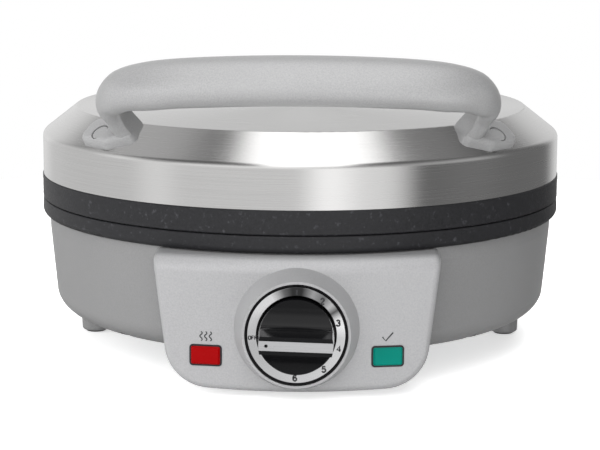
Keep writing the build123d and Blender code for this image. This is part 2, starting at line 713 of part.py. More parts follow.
def base_housing():
    """Moulded base: bowl-shaped shell with screw posts, cover ledge, front window, feet and cord inlet pad."""
    outer = base_form()
    shell = outer - base_form(BASE_WALL, BASE_RIM_Z + 5)
    ledge_z = BASE_BOTTOM_Z + COVER_T + 0.1
    ledge = turned([
        (COVER_LEDGE_R, ledge_z),
        (COVER_LEDGE_R + COVER_LEDGE_W, ledge_z),
        (COVER_LEDGE_R + COVER_LEDGE_W, ledge_z + COVER_LEDGE_H),
        (COVER_LEDGE_R, ledge_z + COVER_LEDGE_H),
    ])
    post_top = SKIRT_LOW_Z - 0.2 - SHIELD_T
    posts = [piece & outer for piece in around(rod(POST_R, (0, 0, 0), (0, 0, post_top)), 4, POST_ON_R, 45.0)]
    boss = rod(COVER_BOSS_R, (0, 0, ledge_z), (0, 0, ledge_z + COVER_BOSS_H))
    bosses = around(boss, 4, COVER_SCREW_ON_R, 45.0)
    feet = [place * foot(BASE_BOTTOM_Z + 2.0) for place in foot_places()]
    front = [
        rod(POD_BOSS_R + 0.8, (x, -POD_SCREW_SEAT_Y, z), (x, -BODY_R, z)) & outer
        for x in (-POD_SCREW_X, POD_SCREW_X) for z in POD_SCREW_Z
    ]
    rear = [
        rod(POD_BOSS_R + 0.8, (x, HINGE_SCREW_SEAT_Y, HINGE_SCREW_Z), (x, BODY_R, HINGE_SCREW_Z)) & outer
        for x in HINGE_SCREW_X
    ]
    inlet = rod(INLET_PAD_R, (0, INLET_PAD_Y - INLET_PAD_T, INLET_Z), (0, INLET_PAD_Y, INLET_Z))
    opening = Pos(0, 0, BASE_BOTTOM_Z) * Cylinder(COVER_R + 0.2, 2 * (COVER_T + 0.1))
    middle = Pos(0, 0, BASE_BOTTOM_Z) * Cylinder(COVER_LEDGE_R, 2 * BASE_WALL + 1)
    housing = (shell - middle - opening) + ledge + posts + bosses + feet + front + rear + inlet
    housing -= block((-WINDOW_W / 2, WINDOW_W / 2), (-BODY_R, -POD_BACK_Y), (WINDOW_LOW_Z, WINDOW_HIGH_Z))
    housing -= rod(INLET_BODY_R + 0.1, (0, POD_BACK_Y, INLET_Z), (0, BODY_R, INLET_Z))
    inside_y = INLET_PAD_Y - INLET_PAD_T
    housing -= rod(INLET_CATCH_R + 0.4, (0, POD_BACK_Y, INLET_Z), (0, inside_y, INLET_Z))
    pocket = rod(HEAD_R + 0.4, (0, 0, 0), (0, 0, post_top - POST_ROOF))
    housing -= around(pocket, 4, POST_ON_R, 45.0)
    housing -= around(rod(SCREW_HOLE_R, (0, 0, 0), (0, 0, post_top + 1)), 4, POST_ON_R, 45.0)
    hole = rod(SCREW_HOLE_R, (0, 0, 0), (0, 0, ledge_z + COVER_BOSS_H - 2))
    housing -= around(hole, 4, COVER_SCREW_ON_R, 45.0)
    for x in (-POD_SCREW_X, POD_SCREW_X):
        for z in POD_SCREW_Z:
            housing -= rod(SCREW_HOLE_R, (x, -POD_BACK_Y, z), (x, -BODY_R, z))
    for x in HINGE_SCREW_X:
        housing -= rod(SCREW_HOLE_R, (x, POD_BACK_Y, HINGE_SCREW_Z), (x, BODY_R, HINGE_SCREW_Z))
    return housing - bracket_screw_holes()


def base_screws():
    """Long screws: head in the post's pocket, tip in the rim's boss."""
    seat = SKIRT_LOW_Z - 0.2 - SHIELD_T - POST_ROOF - 0.05
    return around(screw((POST_ON_R, 0, seat), False, POST_ROOF + SHIELD_T + 7.0), 4, 0, 45.0)


def base_cover():
    """Round bottom cover with radial vents."""
    cover = Pos(0, 0, BASE_BOTTOM_Z) * Cylinder(COVER_R, COVER_T, align=(Align.CENTER, Align.CENTER, Align.MIN))
    vent = Pos((VENT_IN_R + VENT_OUT_R) / 2, 0, BASE_BOTTOM_Z) * extrude(
        SlotOverall(VENT_OUT_R - VENT_IN_R, VENT_W), COVER_T * 2, both=True)
    hole = rod(SCREW_HOLE_R, (COVER_SCREW_ON_R, 0, 0), (COVER_SCREW_ON_R, 0, BASE_BOTTOM_Z + 2 * COVER_T))
    fixing = screw((COVER_SCREW_ON_R, 0, BASE_BOTTOM_Z - 0.05), False, COVER_BOSS_H - 3)
    cover -= around(vent, VENT_COUNT, 0)
    return cover - around(hole, 4, 0, 45.0), around(fixing, 4, 0, 45.0)


def pod_face():
    """Front outline of the control housing: sloping sides, round lower corners, bowed lower edge."""
    top = BASE_RIM_Z - POD_TOP_GAP
    high, low = POD_TOP_W / 2, POD_LOW_W / 2
    edges = [
        Line((high, top), (low, POD_LOW_Z)),
        ThreePointArc((low, POD_LOW_Z), (0, POD_LOW_Z - POD_BOW), (-low, POD_LOW_Z)),
        Line((-low, POD_LOW_Z), (-high, top)),
        Line((-high, top), (high, top)),
    ]
    face = make_face(edges)
    return fillet(face.vertices().group_by(Axis.Y)[0], POD_CORNER)


def pod_form(inset=0.0):
    """Outer form of the control housing, or the same form moved inwards."""
    top = BASE_RIM_Z - POD_TOP_GAP - inset
    outline = offset(pod_face(), -inset) if inset else pod_face()
    prism = extrude(Plane.XZ.offset(POD_BACK_Y + inset) * outline, 60.0)
    hollow_r = FACE_BULGE_R - 50.0
    bulge = Pos(0, FACE_AXIS_Y, 0) * turned([
        (hollow_r, 0),
        (FACE_BULGE_R - inset, 0),
        (FACE_BULGE_R - inset, top, POD_SHOULDER - inset),
        (hollow_r, top),
    ])
    return prism & bulge


def rounded_pod_form():
    """The control housing's outer form with its front edge rounded."""
    form = pod_form()
    shoulder_z = BASE_RIM_Z - POD_TOP_GAP - POD_SHOULDER
    front = []
    for edge in form.edges():
        points = [edge @ t for t in (0.0, 0.5, 1.0)]
        on_face = all(abs(math.hypot(p.X, p.Y - FACE_AXIS_Y) - FACE_BULGE_R) < 0.05 for p in points)
        level = all(abs(p.Z - shoulder_z) < 0.05 for p in points)
        if on_face and not level:
            front.append(edge)
    return fillet(front, POD_EDGE)


def dial_frame():
    """Dial axis: +Z runs forwards out of the panel, measured from the body's axis."""
    return Plane(origin=(0, 0, DIAL_Z), x_dir=(1, 0, 0), z_dir=(0, -1, 0)).location


def light_frame(side):
    """Where a lens sits on the curved face: origin on the face, +Z straight out of it."""
    turn = math.degrees(math.asin(side * LIGHT_X / FACE_BULGE_R))
    face = Plane(origin=(0, -FACE_BULGE_R, LIGHT_Z), x_dir=(1, 0, 0), z_dir=(0, -1, 0))
    return Pos(0, FACE_AXIS_Y, 0) * Rot(0, 0, turn) * face.location


def control_housing():
    """Front moulding with the raised dial collar, the lens recesses and the front foot."""
    outer = rounded_pod_form()
    shell = outer - pod_form(POD_WALL)
    lean = (COLLAR_BASE_R - COLLAR_LIP_R) / COLLAR_H
    root = FACE_Y - POD_WALL - 1.5
    collar = dial_frame() * Pos(0, 0, root) * Cone(
        COLLAR_LIP_R + lean * (DIAL_FRONT_Y - root), COLLAR_LIP_R, DIAL_FRONT_Y - root,
        align=(Align.CENTER, Align.CENTER, Align.MIN))
    bosses = [
        rod(POD_BOSS_R, (x, -POD_BACK_Y, z), (x, -FACE_Y, z)) & outer
        for x in (-POD_SCREW_X, POD_SCREW_X) for z in POD_SCREW_Z
    ]
    front_foot = Pos(0, -FOOT_ON_R, 0) * foot(POD_LOW_Z - POD_BOW + 1.5)
    part = shell + collar + bosses + front_foot
    along = dial_frame()
    part -= along * rod(CUP_R + 0.1, (0, 0, CUP_BACK_Y - 0.05), (0, 0, DIAL_FRONT_Y + 1))
    part -= along * rod(SHELF_BORE_R, (0, 0, POD_BACK_Y), (0, 0, DIAL_FRONT_Y))
    part -= along * rod(SHELF_R, (0, 0, POD_BACK_Y), (0, 0, CUP_BACK_Y - POD_WALL))
    for side in (-1, 1):
        recess = extrude(RectangleRounded(LIGHT_W + 0.1, LIGHT_H + 0.1, LIGHT_ROUND), 5)
        part -= light_frame(side) * Pos(0, 0, -BEZEL_DEPTH) * recess
        part -= light_frame(side) * Cylinder(LENS_TUBE_R + 0.1, 20)
    for x in (-POD_SCREW_X, POD_SCREW_X):
        for z in POD_SCREW_Z:
            part -= rod(SCREW_HOLE_R, (x, -POD_BACK_Y, z), (x, 5.0 - FACE_Y + POD_SCREW_X ** 2 / (2 * FACE_BULGE_R), z))
    return part - base_form(-SEAT, BASE_RIM_Z)


def control_housing_screws():
    """Screws from inside the base housing into the control housing's bosses."""
    away = Plane.XZ.location
    return [
        Pos(x, -POD_SCREW_SEAT_Y + 0.05, z) * away * screw((0, 0, 0), False, 16.0)
        for x in (-POD_SCREW_X, POD_SCREW_X) for z in POD_SCREW_Z
    ]


def dial_cup():
    """Black cup that holds the marked ring in the collar."""
    ring_back = CUP_FRONT_Y + RING_PROUD - RING_T
    cup = turned([
        (CUP_BORE_R, CUP_BACK_Y),
        (CUP_R, CUP_BACK_Y),
        (CUP_R, CUP_FRONT_Y, 0.3),
        (RING_R + 0.1, CUP_FRONT_Y, 0.3),
        (RING_R + 0.1, ring_back - 0.05),
        (RING_BORE_R, ring_back - 0.05),
        (RING_BORE_R, CUP_BACK_Y + CUP_FLOOR),
        (CUP_BORE_R, CUP_BACK_Y + CUP_FLOOR),
    ])
    return dial_frame() * cup


def dial_ring():
    """Bright ring that carries the settings."""
    front = CUP_FRONT_Y + RING_PROUD
    ring = turned([
        (RING_BORE_R, front - RING_T),
        (RING_R, front - RING_T),
        (RING_R, front, 0.4),
        (RING_BORE_R, front, 0.4),
    ])
    return dial_frame() * ring


def knob_frame():
    """The knob's own frame: its back at the origin, turned as the photograph shows it."""
    return dial_frame() * Pos(0, 0, KNOB_BACK_Y) * Rot(0, 0, -KNOB_TURN)


def control_knob():
    """Round knob scooped on both sides of a straight grip, hollow behind, with a D bore."""
    body = turned([
        (0, 0),
        (KNOB_R, 0, 0.4),
        (KNOB_R, KNOB_RIM),
        (KNOB_R - 0.7, KNOB_L, 0.5),
        (0, KNOB_L),
    ])
    root = (GRIP_ROOT_W / 2, KNOB_L - GRIP_FLANK)
    foot_of_scoop = (KNOB_R - KNOB_LAND, KNOB_RIM)
    outside = KNOB_R + 5
    scoop_face = make_face([
        Line((GRIP_TIP_W / 2, KNOB_L + 1), root),
        TangentArc(root, foot_of_scoop, tangent=(0, -1)),
        Line(foot_of_scoop, (outside, KNOB_RIM)),
        Line((outside, KNOB_RIM), (outside, KNOB_L + 1)),
        Line((outside, KNOB_L + 1), (GRIP_TIP_W / 2, KNOB_L + 1)),
    ])
    scoop = extrude(Plane.YZ * scoop_face, outside, both=True)
    body -= [scoop, mirror(scoop, about=Plane.XZ)]
    body -= Pos(0, 0, KNOB_L - POINTER_IN) * Box(
        3 * KNOB_R, POINTER_W + 0.1, 5, align=(Align.CENTER, Align.CENTER, Align.MIN))
    body -= Cylinder(KNOB_HOLLOW_R, 2 * KNOB_HOLLOW) - Cylinder(KNOB_HUB_R, 2 * KNOB_HOLLOW)
    return knob_frame() * (body - shaft_d(SHAFT_GAP, KNOB_BORE_L))


def shaft_d(gap, length):
    """D-shaped bar along the knob's axis, starting at its back."""
    bar = Cylinder(SHAFT_R + gap, length, align=(Align.CENTER, Align.CENTER, Align.MIN))
    flat = Pos(0, SHAFT_R - SHAFT_FLAT + gap, 0) * Box(
        20, 20, 3 * length, align=(Align.CENTER, Align.MIN, Align.CENTER))
    return bar - flat


def knob_shaft():
    """Thermostat spindle: round in the bush, with a flat where the knob sits."""
    back = KNOB_BACK_Y - BRACKET_Y + SHAFT_IN
    bar = rod(SHAFT_R, (0, 0, -back), (0, 0, 0))
    return knob_frame() * (bar + shaft_d(0, KNOB_BORE_L - 0.5))


def pointer_strip():
    """Brushed strip let into the grip, with a small hole that marks the pointer's end."""
    reach = KNOB_R - 0.75
    strip = extrude(Rectangle(2 * KNOB_R, POINTER_W) & Circle(reach), POINTER_T)
    strip -= Pos(-POINTER_DOT_X, 0, 0) * Cylinder(POINTER_DOT_R, 5)
    return knob_frame() * Pos(0, 0, KNOB_L - POINTER_IN + 0.05) * strip


def light(side):
    """Bezel, lens and lamp of one indicator light."""
    place = light_frame(side)
    back = -BEZEL_DEPTH + 0.05
    lens_w, lens_h = LIGHT_W - 2 * BEZEL, LIGHT_H - 2 * BEZEL
    ring = RectangleRounded(LIGHT_W, LIGHT_H, LIGHT_ROUND) - RectangleRounded(lens_w, lens_h, LIGHT_ROUND - BEZEL)
    bezel = Pos(0, 0, back) * extrude(ring, BEZEL_DEPTH + BEZEL_PROUD)
    block_l = extrude(RectangleRounded(lens_w - 0.1, lens_h - 0.1, LIGHT_ROUND - BEZEL), BEZEL_DEPTH + LENS_PROUD)
    block_l = chamfer(block_l.edges().group_by(Axis.Z)[-1], LENS_BEVEL)
    tube = rod(LENS_TUBE_R, (0, 0, -LENS_TUBE_L), (0, 0, 0.5))
    bore = rod(LAMP_R + 0.1, (0, 0, -LENS_TUBE_L - 1), (0, 0, -1.0))
    lens = Pos(0, 0, back) * ((block_l + tube) - bore)
    bulb = turned([(0, -LAMP_L), (LAMP_R, -LAMP_L), (LAMP_R, 0, LAMP_R * 0.8), (0, 0)])
    wires = [rod(LAMP_WIRE_R, (x, 0, -LAMP_L - 5), (x, 0, -LAMP_L + 1)) for x in (-1.2, 1.2)]
    lamp = Pos(0, 0, back - 1.1) * (bulb + wires)
    return place * bezel, place * lens, place * lamp


def thermostat():
    """Adjustable thermostat behind its bracket, with a threaded bush and two tabs."""
    front = BRACKET_Y - BRACKET_T - 0.1
    body = block(
        (-THERMO_W / 2, THERMO_W / 2), (-THERMO_H / 2, THERMO_H / 2), (front - THERMO_L, front))
    body = fillet(body.edges().filter_by(Axis.Z), 2.0)
    bush = rod(BUSH_R, (0, 0, front - 1), (0, 0, front + BUSH_L))
    tabs = [block((x - 3.1, x + 3.1), (-0.4, 0.4), (front - THERMO_L - TAB_L, front - THERMO_L + 1)) for x in (-7, 7)]
    bore = rod(SHAFT_R + SHAFT_GAP, (0, 0, BRACKET_Y - SHAFT_IN - 1), (0, 0, front + BUSH_L + 1))
    return dial_frame() * ((body + bush + tabs) - bore)


def thermostat_nut():
    """Nut that clamps the thermostat's bush to the bracket."""
    nut = extrude(RegularPolygon(NUT_FLATS / 2, 6, major_radius=False), NUT_T)
    nut -= Cylinder(BUSH_R + 0.1, 4 * NUT_T)
    return dial_frame() * Pos(0, 0, BRACKET_Y + 0.1) * nut


def bracket_foot_z():
    """Level of the cover ledge's upper face, where the thermostat's bracket stands."""
    return BASE_BOTTOM_Z + COVER_T + 0.1 + COVER_LEDGE_H


def bracket_screw_holes():
    """Holes in the ledge for the thermostat bracket's screws."""
    z = bracket_foot_z()
    return [rod(SCREW_HOLE_R, (x, -BRACKET_SCREW_Y, z - 10), (x, -BRACKET_SCREW_Y, z + 1)) for x in BRACKET_SCREW_X]


def thermostat_bracket():
    """Folded steel bracket: upright plate with the bush hole, foot on the ledge; and its screws."""
    z = bracket_foot_z() + 0.05
    half = BRACKET_W / 2
    upright = block((-half, half), (-BRACKET_Y, BRACKET_T - BRACKET_Y), (z, z + BRACKET_H))
    upright = fillet(upright.edges().filter_by(Axis.Y).group_by(Axis.Z)[-1], 6.0)
    tread = block((-half, half), (-BRACKET_Y, -BRACKET_SCREW_Y + 4.0), (z, z + BRACKET_T))
    part = upright + tread - dial_frame() * Pos(0, 0, BRACKET_Y) * Cylinder(BUSH_R + 0.2, 10)
    top = z + BRACKET_T + 0.05
    for x in BRACKET_SCREW_X:
        part -= rod(SCREW_HOLE_R, (x, -BRACKET_SCREW_Y, z - 5), (x, -BRACKET_SCREW_Y, z + 5))
    screws = [screw((x, -BRACKET_SCREW_Y, top), True, BRACKET_T + COVER_LEDGE_H - 0.5) for x in BRACKET_SCREW_X]
    return part, screws


def sensing_rod():
    """Rod that carries the lower plate's heat to the thermostat."""
    low = DIAL_Z + THERMO_H / 2 + 0.05
    return rod(ROD_R, (0, -ROD_Y, low), (0, -ROD_Y, PLATE_UNDER_Z - 0.05))


def hinge_bracket():
    """Cast hinge block on the back of the base, with two ears for the pin."""
    half = KNUCKLE_HALF + EAR_GAP + EAR_T
    low, high, back = HINGE_BLOCK_LOW_Z, HINGE_BLOCK_HIGH_Z, HINGE_REAR_Y
    clear_y = RIM_R + 1.5
    side = profile([
        (POD_BACK_Y, low),
        (back - HINGE_BLOCK_SLOPE, low, 6.0),
        (back, low + HINGE_BLOCK_SLOPE, 6.0),
        (back, high, 2.0),
        (clear_y, high, 1.0),
        (clear_y, BASE_RIM_Z - POD_TOP_GAP),
        (POD_BACK_Y, BASE_RIM_Z - POD_TOP_GAP),
    ])
    body = extrude(Plane.YZ * side, half, both=True)
    for way in (-1, 1):
        x = way * (half - EAR_T / 2)
        ear = rod(EAR_R, (x - EAR_T / 2, HINGE_Y, HINGE_Z), (x + EAR_T / 2, HINGE_Y, HINGE_Z))
        neck = block((x - EAR_T / 2, x + EAR_T / 2), (clear_y, HINGE_REAR_Y), (high - 4, HINGE_Z))
        body += [ear, neck]
    body -= rod(PIN_R + PIN_SEAT_GAP, (-2 * half, HINGE_Y, HINGE_Z), (2 * half, HINGE_Y, HINGE_Z))
    for x in HINGE_SCREW_X:
        tip = HINGE_SCREW_SEAT_Y + HINGE_SCREW_L + SCREW_TIP_GAP
        body -= rod(SCREW_HOLE_R, (x, POD_BACK_Y, HINGE_SCREW_Z), (x, tip, HINGE_SCREW_Z))
    return body - base_form(-SEAT, BASE_RIM_Z)


def hinge_bracket_screws():
    """Screws from inside the base housing into the hinge block."""
    away = Plane.XZ.location
    return [
        Pos(x, HINGE_SCREW_SEAT_Y - 0.05, HINGE_SCREW_Z) * away * screw((0, 0, 0), True, HINGE_SCREW_L)
        for x in HINGE_SCREW_X
    ]


def hinge_pin():
    """Hinge pin with a head at one end and a groove for its clip at the other; and the clip."""
    half = KNUCKLE_HALF + EAR_GAP + EAR_T
    pin = rod(PIN_R, (-half - 0.1, HINGE_Y, HINGE_Z), (half + 4.0, HINGE_Y, HINGE_Z))
    pin += rod(PIN_HEAD_R, (-half - 0.1, HINGE_Y, HINGE_Z), (-half - 0.1 - PIN_HEAD_H, HINGE_Y, HINGE_Z))
    groove_x = half + 0.3
    outer = rod(PIN_R + 1, (groove_x, HINGE_Y, HINGE_Z), (groove_x + CLIP_T + 0.2, HINGE_Y, HINGE_Z))
    core = rod(PIN_R - 0.6, (groove_x - 1, HINGE_Y, HINGE_Z), (groove_x + CLIP_T + 2, HINGE_Y, HINGE_Z))
    pin -= outer - core
    clip = rod(CLIP_R, (groove_x + 0.1, HINGE_Y, HINGE_Z), (groove_x + 0.1 + CLIP_T, HINGE_Y, HINGE_Z))
    clip -= rod(PIN_R - 0.5, (groove_x - 1, HINGE_Y, HINGE_Z), (groove_x + 3, HINGE_Y, HINGE_Z))
    clip -= block((groove_x - 1, groove_x + 3), (HINGE_Y, HINGE_Y + 2 * CLIP_R), (HINGE_Z - 2.0, HINGE_Z + 2.0))
    return pin, clip


def arm_web_z():
    """Underside of the hinge arm's web, on the lid rim's ledge."""
    return 2 * PARTING_Z - LEDGE_LOW_Z + 0.1


def hinge_arm():
    """Lid half of the hinge: a web through the rim's slot with a knuckle behind; and its screws."""
    z = arm_web_z()
    web = block((-ARM_HALF, ARM_HALF), (ARM_IN_Y, HINGE_Y), (z, z + ARM_T))
    knuckle = rod(KNUCKLE_R, (-KNUCKLE_HALF, HINGE_Y, HINGE_Z), (KNUCKLE_HALF, HINGE_Y, HINGE_Z))
    part = web + knuckle
    part -= rod(PIN_R + PIN_GAP, (-2 * KNUCKLE_HALF, HINGE_Y, HINGE_Z), (2 * KNUCKLE_HALF, HINGE_Y, HINGE_Z))
    for x in ARM_SCREW_X:
        part -= rod(SCREW_HOLE_R, (x, ARM_SCREW_Y, z - 1), (x, ARM_SCREW_Y, z + ARM_T + 1))
    screws = [screw((x, ARM_SCREW_Y, z + ARM_T + 0.05), True, ARM_T + RIM_LEDGE - 0.5) for x in ARM_SCREW_X]
    return part, screws


def cord_inlet():
    """Bush in the back wall that the supply cord passes through."""
    inside = INLET_PAD_Y - INLET_PAD_T
    part = rod(INLET_BODY_R, (0, inside - INLET_CATCH_T, INLET_Z), (0, INLET_PAD_Y + 1, INLET_Z))
    flange_y = INLET_PAD_Y + 0.05
    part += rod(INLET_FLANGE_R, (0, flange_y, INLET_Z), (0, flange_y + INLET_FLANGE_T, INLET_Z))
    part += rod(INLET_CATCH_R, (0, inside - INLET_CATCH_T - 0.05, INLET_Z), (0, inside - 0.05, INLET_Z))
    return part - rod(CORD_R, (0, 0, INLET_Z), (0, 2 * BODY_R, INLET_Z))


def terminal_block():
    """Moulded block on the cover where the cord's wires meet the inner leads."""
    floor = BASE_BOTTOM_Z + COVER_T + 0.05
    y = TERMINAL_Y
    part = block((-TERMINAL_W / 2, TERMINAL_W / 2), (y - 7, y + 7), (floor, floor + TERMINAL_H))
    part = fillet(part.edges().filter_by(Axis.Z), 1.0)
    step = TERMINAL_W / 3
    for x in (-step, 0, step):
        part -= rod(1.6, (x, y - 10, floor + 4), (x, y + 10, floor + 4))
        part -= rod(1.8, (x, y, floor + 6), (x, y, floor + TERMINAL_H + 1))
    return part


def export(name, *pieces):
    """Write one node, moved so that the origin is the middle of the footprint."""
    solids = [solid for piece in pieces for solid in piece.solids()]
    shape = solids[0] if len(solids) == 1 else Compound(children=solids)
    export_step(Pos(0, AXIS_SHIFT_Y, 0) * shape, f"parts/{name}.step")


def main():
    os.makedirs("parts", exist_ok=True)
    lower_screws, lower_holes = plate_screws(PLATE_SCREW_FIRST)
    upper_holes = [mirrored(hole) for hole in lower_holes]
    straps, strap_screws = element_clamps()
    shield = heat_shield()
    lug_screws, plugs, brackets, bracket_screws, bracket_holes = handle_fixings()
    arm, arm_screws = hinge_arm()
    pin, clip = hinge_pin()
    cover, cover_screws = base_cover()
    thermo_bracket, thermo_screws = thermostat_bracket()
    export("lower_plate", lower_plate(lower_holes))
    export("upper_plate", mirrored(grid_plate()) - upper_holes)
    export("lower_rim", lower_rim(lower_holes))
    export("upper_rim", upper_rim([*upper_holes, *bracket_holes, *arm_screw_holes()]))
    export("lower_plate_screws", *lower_screws)
    export("upper_plate_screws", *[mirrored(piece) for piece in lower_screws])
    export("lower_element", heating_element(ELEMENT_LEG))
    export("upper_element", mirrored(heating_element(UPPER_ELEMENT_LEG)))
    export("lower_heat_shield", shield - lower_shield_holes())
    export("upper_heat_shield", mirrored(shield) - upper_shield_holes())
    export("upper_shield_screws", *shield_screws())
    export("lower_element_clamps", *straps)
    export("lower_clamp_screws", *strap_screws)
    export("upper_element_clamps", *[mirrored(piece) for piece in straps])
    export("upper_clamp_screws", *[mirrored(piece) for piece in strap_screws])
    export("lid_cover", lid_cover())
    export("handle", handle())
    export("handle_screws", *lug_screws)
    export("handle_plugs", *plugs)
    export("handle_brackets", *brackets)
    export("handle_bracket_screws", *bracket_screws)
    export("base_housing", base_housing())
    export("base_screws", *base_screws())
    export("base_cover", cover)
    export("cover_screws", *cover_screws)
    export("foot_pads", *foot_pads())
    export("control_housing", control_housing())
    export("control_housing_screws", *control_housing_screws())
    export("dial_cup", dial_cup())
    export("dial_ring", dial_ring())
    export("control_knob", control_knob())
    export("pointer_strip", pointer_strip())
    export("knob_shaft", knob_shaft())
    for name, side in (("heating", -1), ("ready", 1)):
        bezel, lens, lamp = light(side)
        export(f"{name}_bezel", bezel)
        export(f"{name}_lens", lens)
        export(f"{name}_lamp", lamp)
    export("thermostat", thermostat())
    export("thermostat_nut", thermostat_nut())
    export("thermostat_bracket", thermo_bracket)
    export("thermostat_bracket_screws", *thermo_screws)
    export("sensing_rod", sensing_rod())
    export("hinge_bracket", hinge_bracket())
    export("hinge_bracket_screws", *hinge_bracket_screws())
    export("hinge_pin", pin)
    export("hinge_clip", clip)
    export("hinge_arm", arm)
    export("hinge_arm_screws", *arm_screws)
    export("cord_inlet", cord_inlet())
    export("terminal_block", terminal_block())


if __name__ == "__main__":
    main()
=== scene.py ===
import json
import math
import bmesh
import bpy
from mathutils import Matrix, Vector


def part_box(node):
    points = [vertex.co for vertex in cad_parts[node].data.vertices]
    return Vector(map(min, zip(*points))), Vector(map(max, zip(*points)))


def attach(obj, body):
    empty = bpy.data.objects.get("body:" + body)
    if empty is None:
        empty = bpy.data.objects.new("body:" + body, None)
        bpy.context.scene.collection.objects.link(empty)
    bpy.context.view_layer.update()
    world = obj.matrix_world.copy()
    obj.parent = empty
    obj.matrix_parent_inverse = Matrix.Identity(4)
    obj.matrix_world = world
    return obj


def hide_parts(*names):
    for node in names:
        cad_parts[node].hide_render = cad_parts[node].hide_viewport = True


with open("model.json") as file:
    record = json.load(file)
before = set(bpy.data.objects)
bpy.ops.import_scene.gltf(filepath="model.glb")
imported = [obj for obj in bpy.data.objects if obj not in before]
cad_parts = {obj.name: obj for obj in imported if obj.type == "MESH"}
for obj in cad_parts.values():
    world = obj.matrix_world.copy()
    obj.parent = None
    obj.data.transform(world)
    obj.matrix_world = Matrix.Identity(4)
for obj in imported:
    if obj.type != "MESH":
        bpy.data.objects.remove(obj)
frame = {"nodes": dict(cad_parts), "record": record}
nodes = frame["nodes"]
slots = {entry["node"]: entry["material_slot"] for entry in frame["record"]["subparts"]}
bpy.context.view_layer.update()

# Lid and dial ring, which set the body's axis and the dial's middle
lid_low, lid_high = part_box("lid_cover")
ring_low, ring_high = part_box("dial_ring")
AXIS_Y = (lid_low.y + lid_high.y) / 2
DIAL_MIDDLE = (ring_low + ring_high) / 2


# Shader nodes

# Places of a Mix node's sockets: two numbers and two colours go in, a number or a colour comes out
NUMBER_A, NUMBER_B, NUMBER_OUT = 2, 3, 0
COLOUR_A, COLOUR_B, COLOUR_OUT = 6, 7, 2


def add(tree, kind, inputs=None, **settings):
    """New node with its settings, and with input values or links by socket name or index."""
    node = tree.nodes.new(kind)
    for key, value in settings.items():
        setattr(node, key, value)
    for key, value in (inputs or {}).items():
        if isinstance(value, bpy.types.NodeSocket):
            tree.links.new(value, node.inputs[key])
        else:
            node.inputs[key].default_value = value
    return node


def math_node(tree, operation, first, second=0.0):
    """Result of one arithmetic step."""
    return add(tree, "ShaderNodeMath", {0: first, 1: second}, operation=operation).outputs[0]


def vector_node(tree, operation, first, second=(0.0, 0.0, 0.0)):
    """Vector that one vector step gives."""
    return add(tree, "ShaderNodeVectorMath", {0: first, 1: second}, operation=operation).outputs[0]


def dot_node(tree, first, second):
    """Dot product of two vectors."""
    node = add(tree, "ShaderNodeVectorMath", {0: first, 1: second}, operation="DOT_PRODUCT")
    return node.outputs["Value"]


def noise(tree, vector, scale, detail=3.0, roughness=0.55):
    """Noise value between 0 and 1."""
    inputs = {"Vector": vector, "Scale": scale, "Detail": detail, "Roughness": roughness}
    return add(tree, "ShaderNodeTexNoise", inputs).outputs[0]


def spread(tree, value, low, high, start=0.3, end=0.7, kind="LINEAR"):
    """Value mapped from start..end, where most of a noise lies, to low..high."""
    inputs = {"Value": value, "From Min": start, "From Max": end, "To Min": low, "To Max": high}
    return add(tree, "ShaderNodeMapRange", inputs, interpolation_type=kind).outputs[0]


def opaque(colour):
    """Colour with full cover; a socket stays as it is."""
    return colour if isinstance(colour, bpy.types.NodeSocket) else (*colour, 1.0)


def blend(tree, factor, first, second, kind="MIX"):
    """Colour mixed from two colours."""
    inputs = {0: factor, COLOUR_A: opaque(first), COLOUR_B: opaque(second)}
    return add(tree, "ShaderNodeMix", inputs, data_type="RGBA", blend_type=kind).outputs[COLOUR_OUT]


def shade(colour, factor):
    """Colour made lighter or darker."""
    return tuple(min(1.0, part * factor) for part in colour)


def new_material(name, **constants):
    """New material: its node tree, its shader and the place on the object in metres."""
    material = bpy.data.materials.new(name)
    material.use_nodes = True
    tree = material.node_tree
    shader = tree.nodes["Principled BSDF"]
    for key, value in constants.items():
        shader.inputs[key.replace("_", " ")].default_value = value
    place = add(tree, "ShaderNodeTexCoord").outputs["Object"]
    return material, tree, shader, place


def finish_surface(tree, shader, tone, rough):
    """Colour and roughness linked to the shader."""
    tree.links.new(tone, shader.inputs["Base Color"])
    tree.links.new(rough, shader.inputs["Roughness"])


def bump(tree, shader, height, strength, distance, normal=None):
    """Fine relief on the shader."""
    inputs = {"Height": height, "Strength": strength, "Distance": distance}
    if normal:
        inputs["Normal"] = normal
    node = add(tree, "ShaderNodeBump", inputs)
    tree.links.new(node.outputs[0], shader.inputs["Normal"])


# Turned metal

# Distance from the body's axis at which streaks have their true length
BRUSH_R = 0.12


def round_place(tree, place):
    """Length round the body's axis and place along its profile, with the seam at the back."""
    x, y, z = add(tree, "ShaderNodeSeparateXYZ", {0: place}).outputs
    front = math_node(tree, "SUBTRACT", AXIS_Y, y)
    turn = math_node(tree, "ARCTAN2", x, front)
    x_squared = math_node(tree, "MULTIPLY", x, x)
    front_squared = math_node(tree, "MULTIPLY", front, front)
    radius = math_node(tree, "SQRT", math_node(tree, "ADD", x_squared, front_squared))
    profile = math_node(tree, "SUBTRACT", radius, z)
    length = math_node(tree, "MULTIPLY", turn, BRUSH_R)
    return add(tree, "ShaderNodeCombineXYZ", {0: length, 1: profile, 2: 0.0}).outputs[0]


def normal_in(tree, normal, source, target):
    """Normal taken from one space to another."""
    spaces = {"convert_from": source, "convert_to": target}
    return add(tree, "ShaderNodeVectorTransform", {0: normal}, vector_type="NORMAL", **spaces).outputs[0]


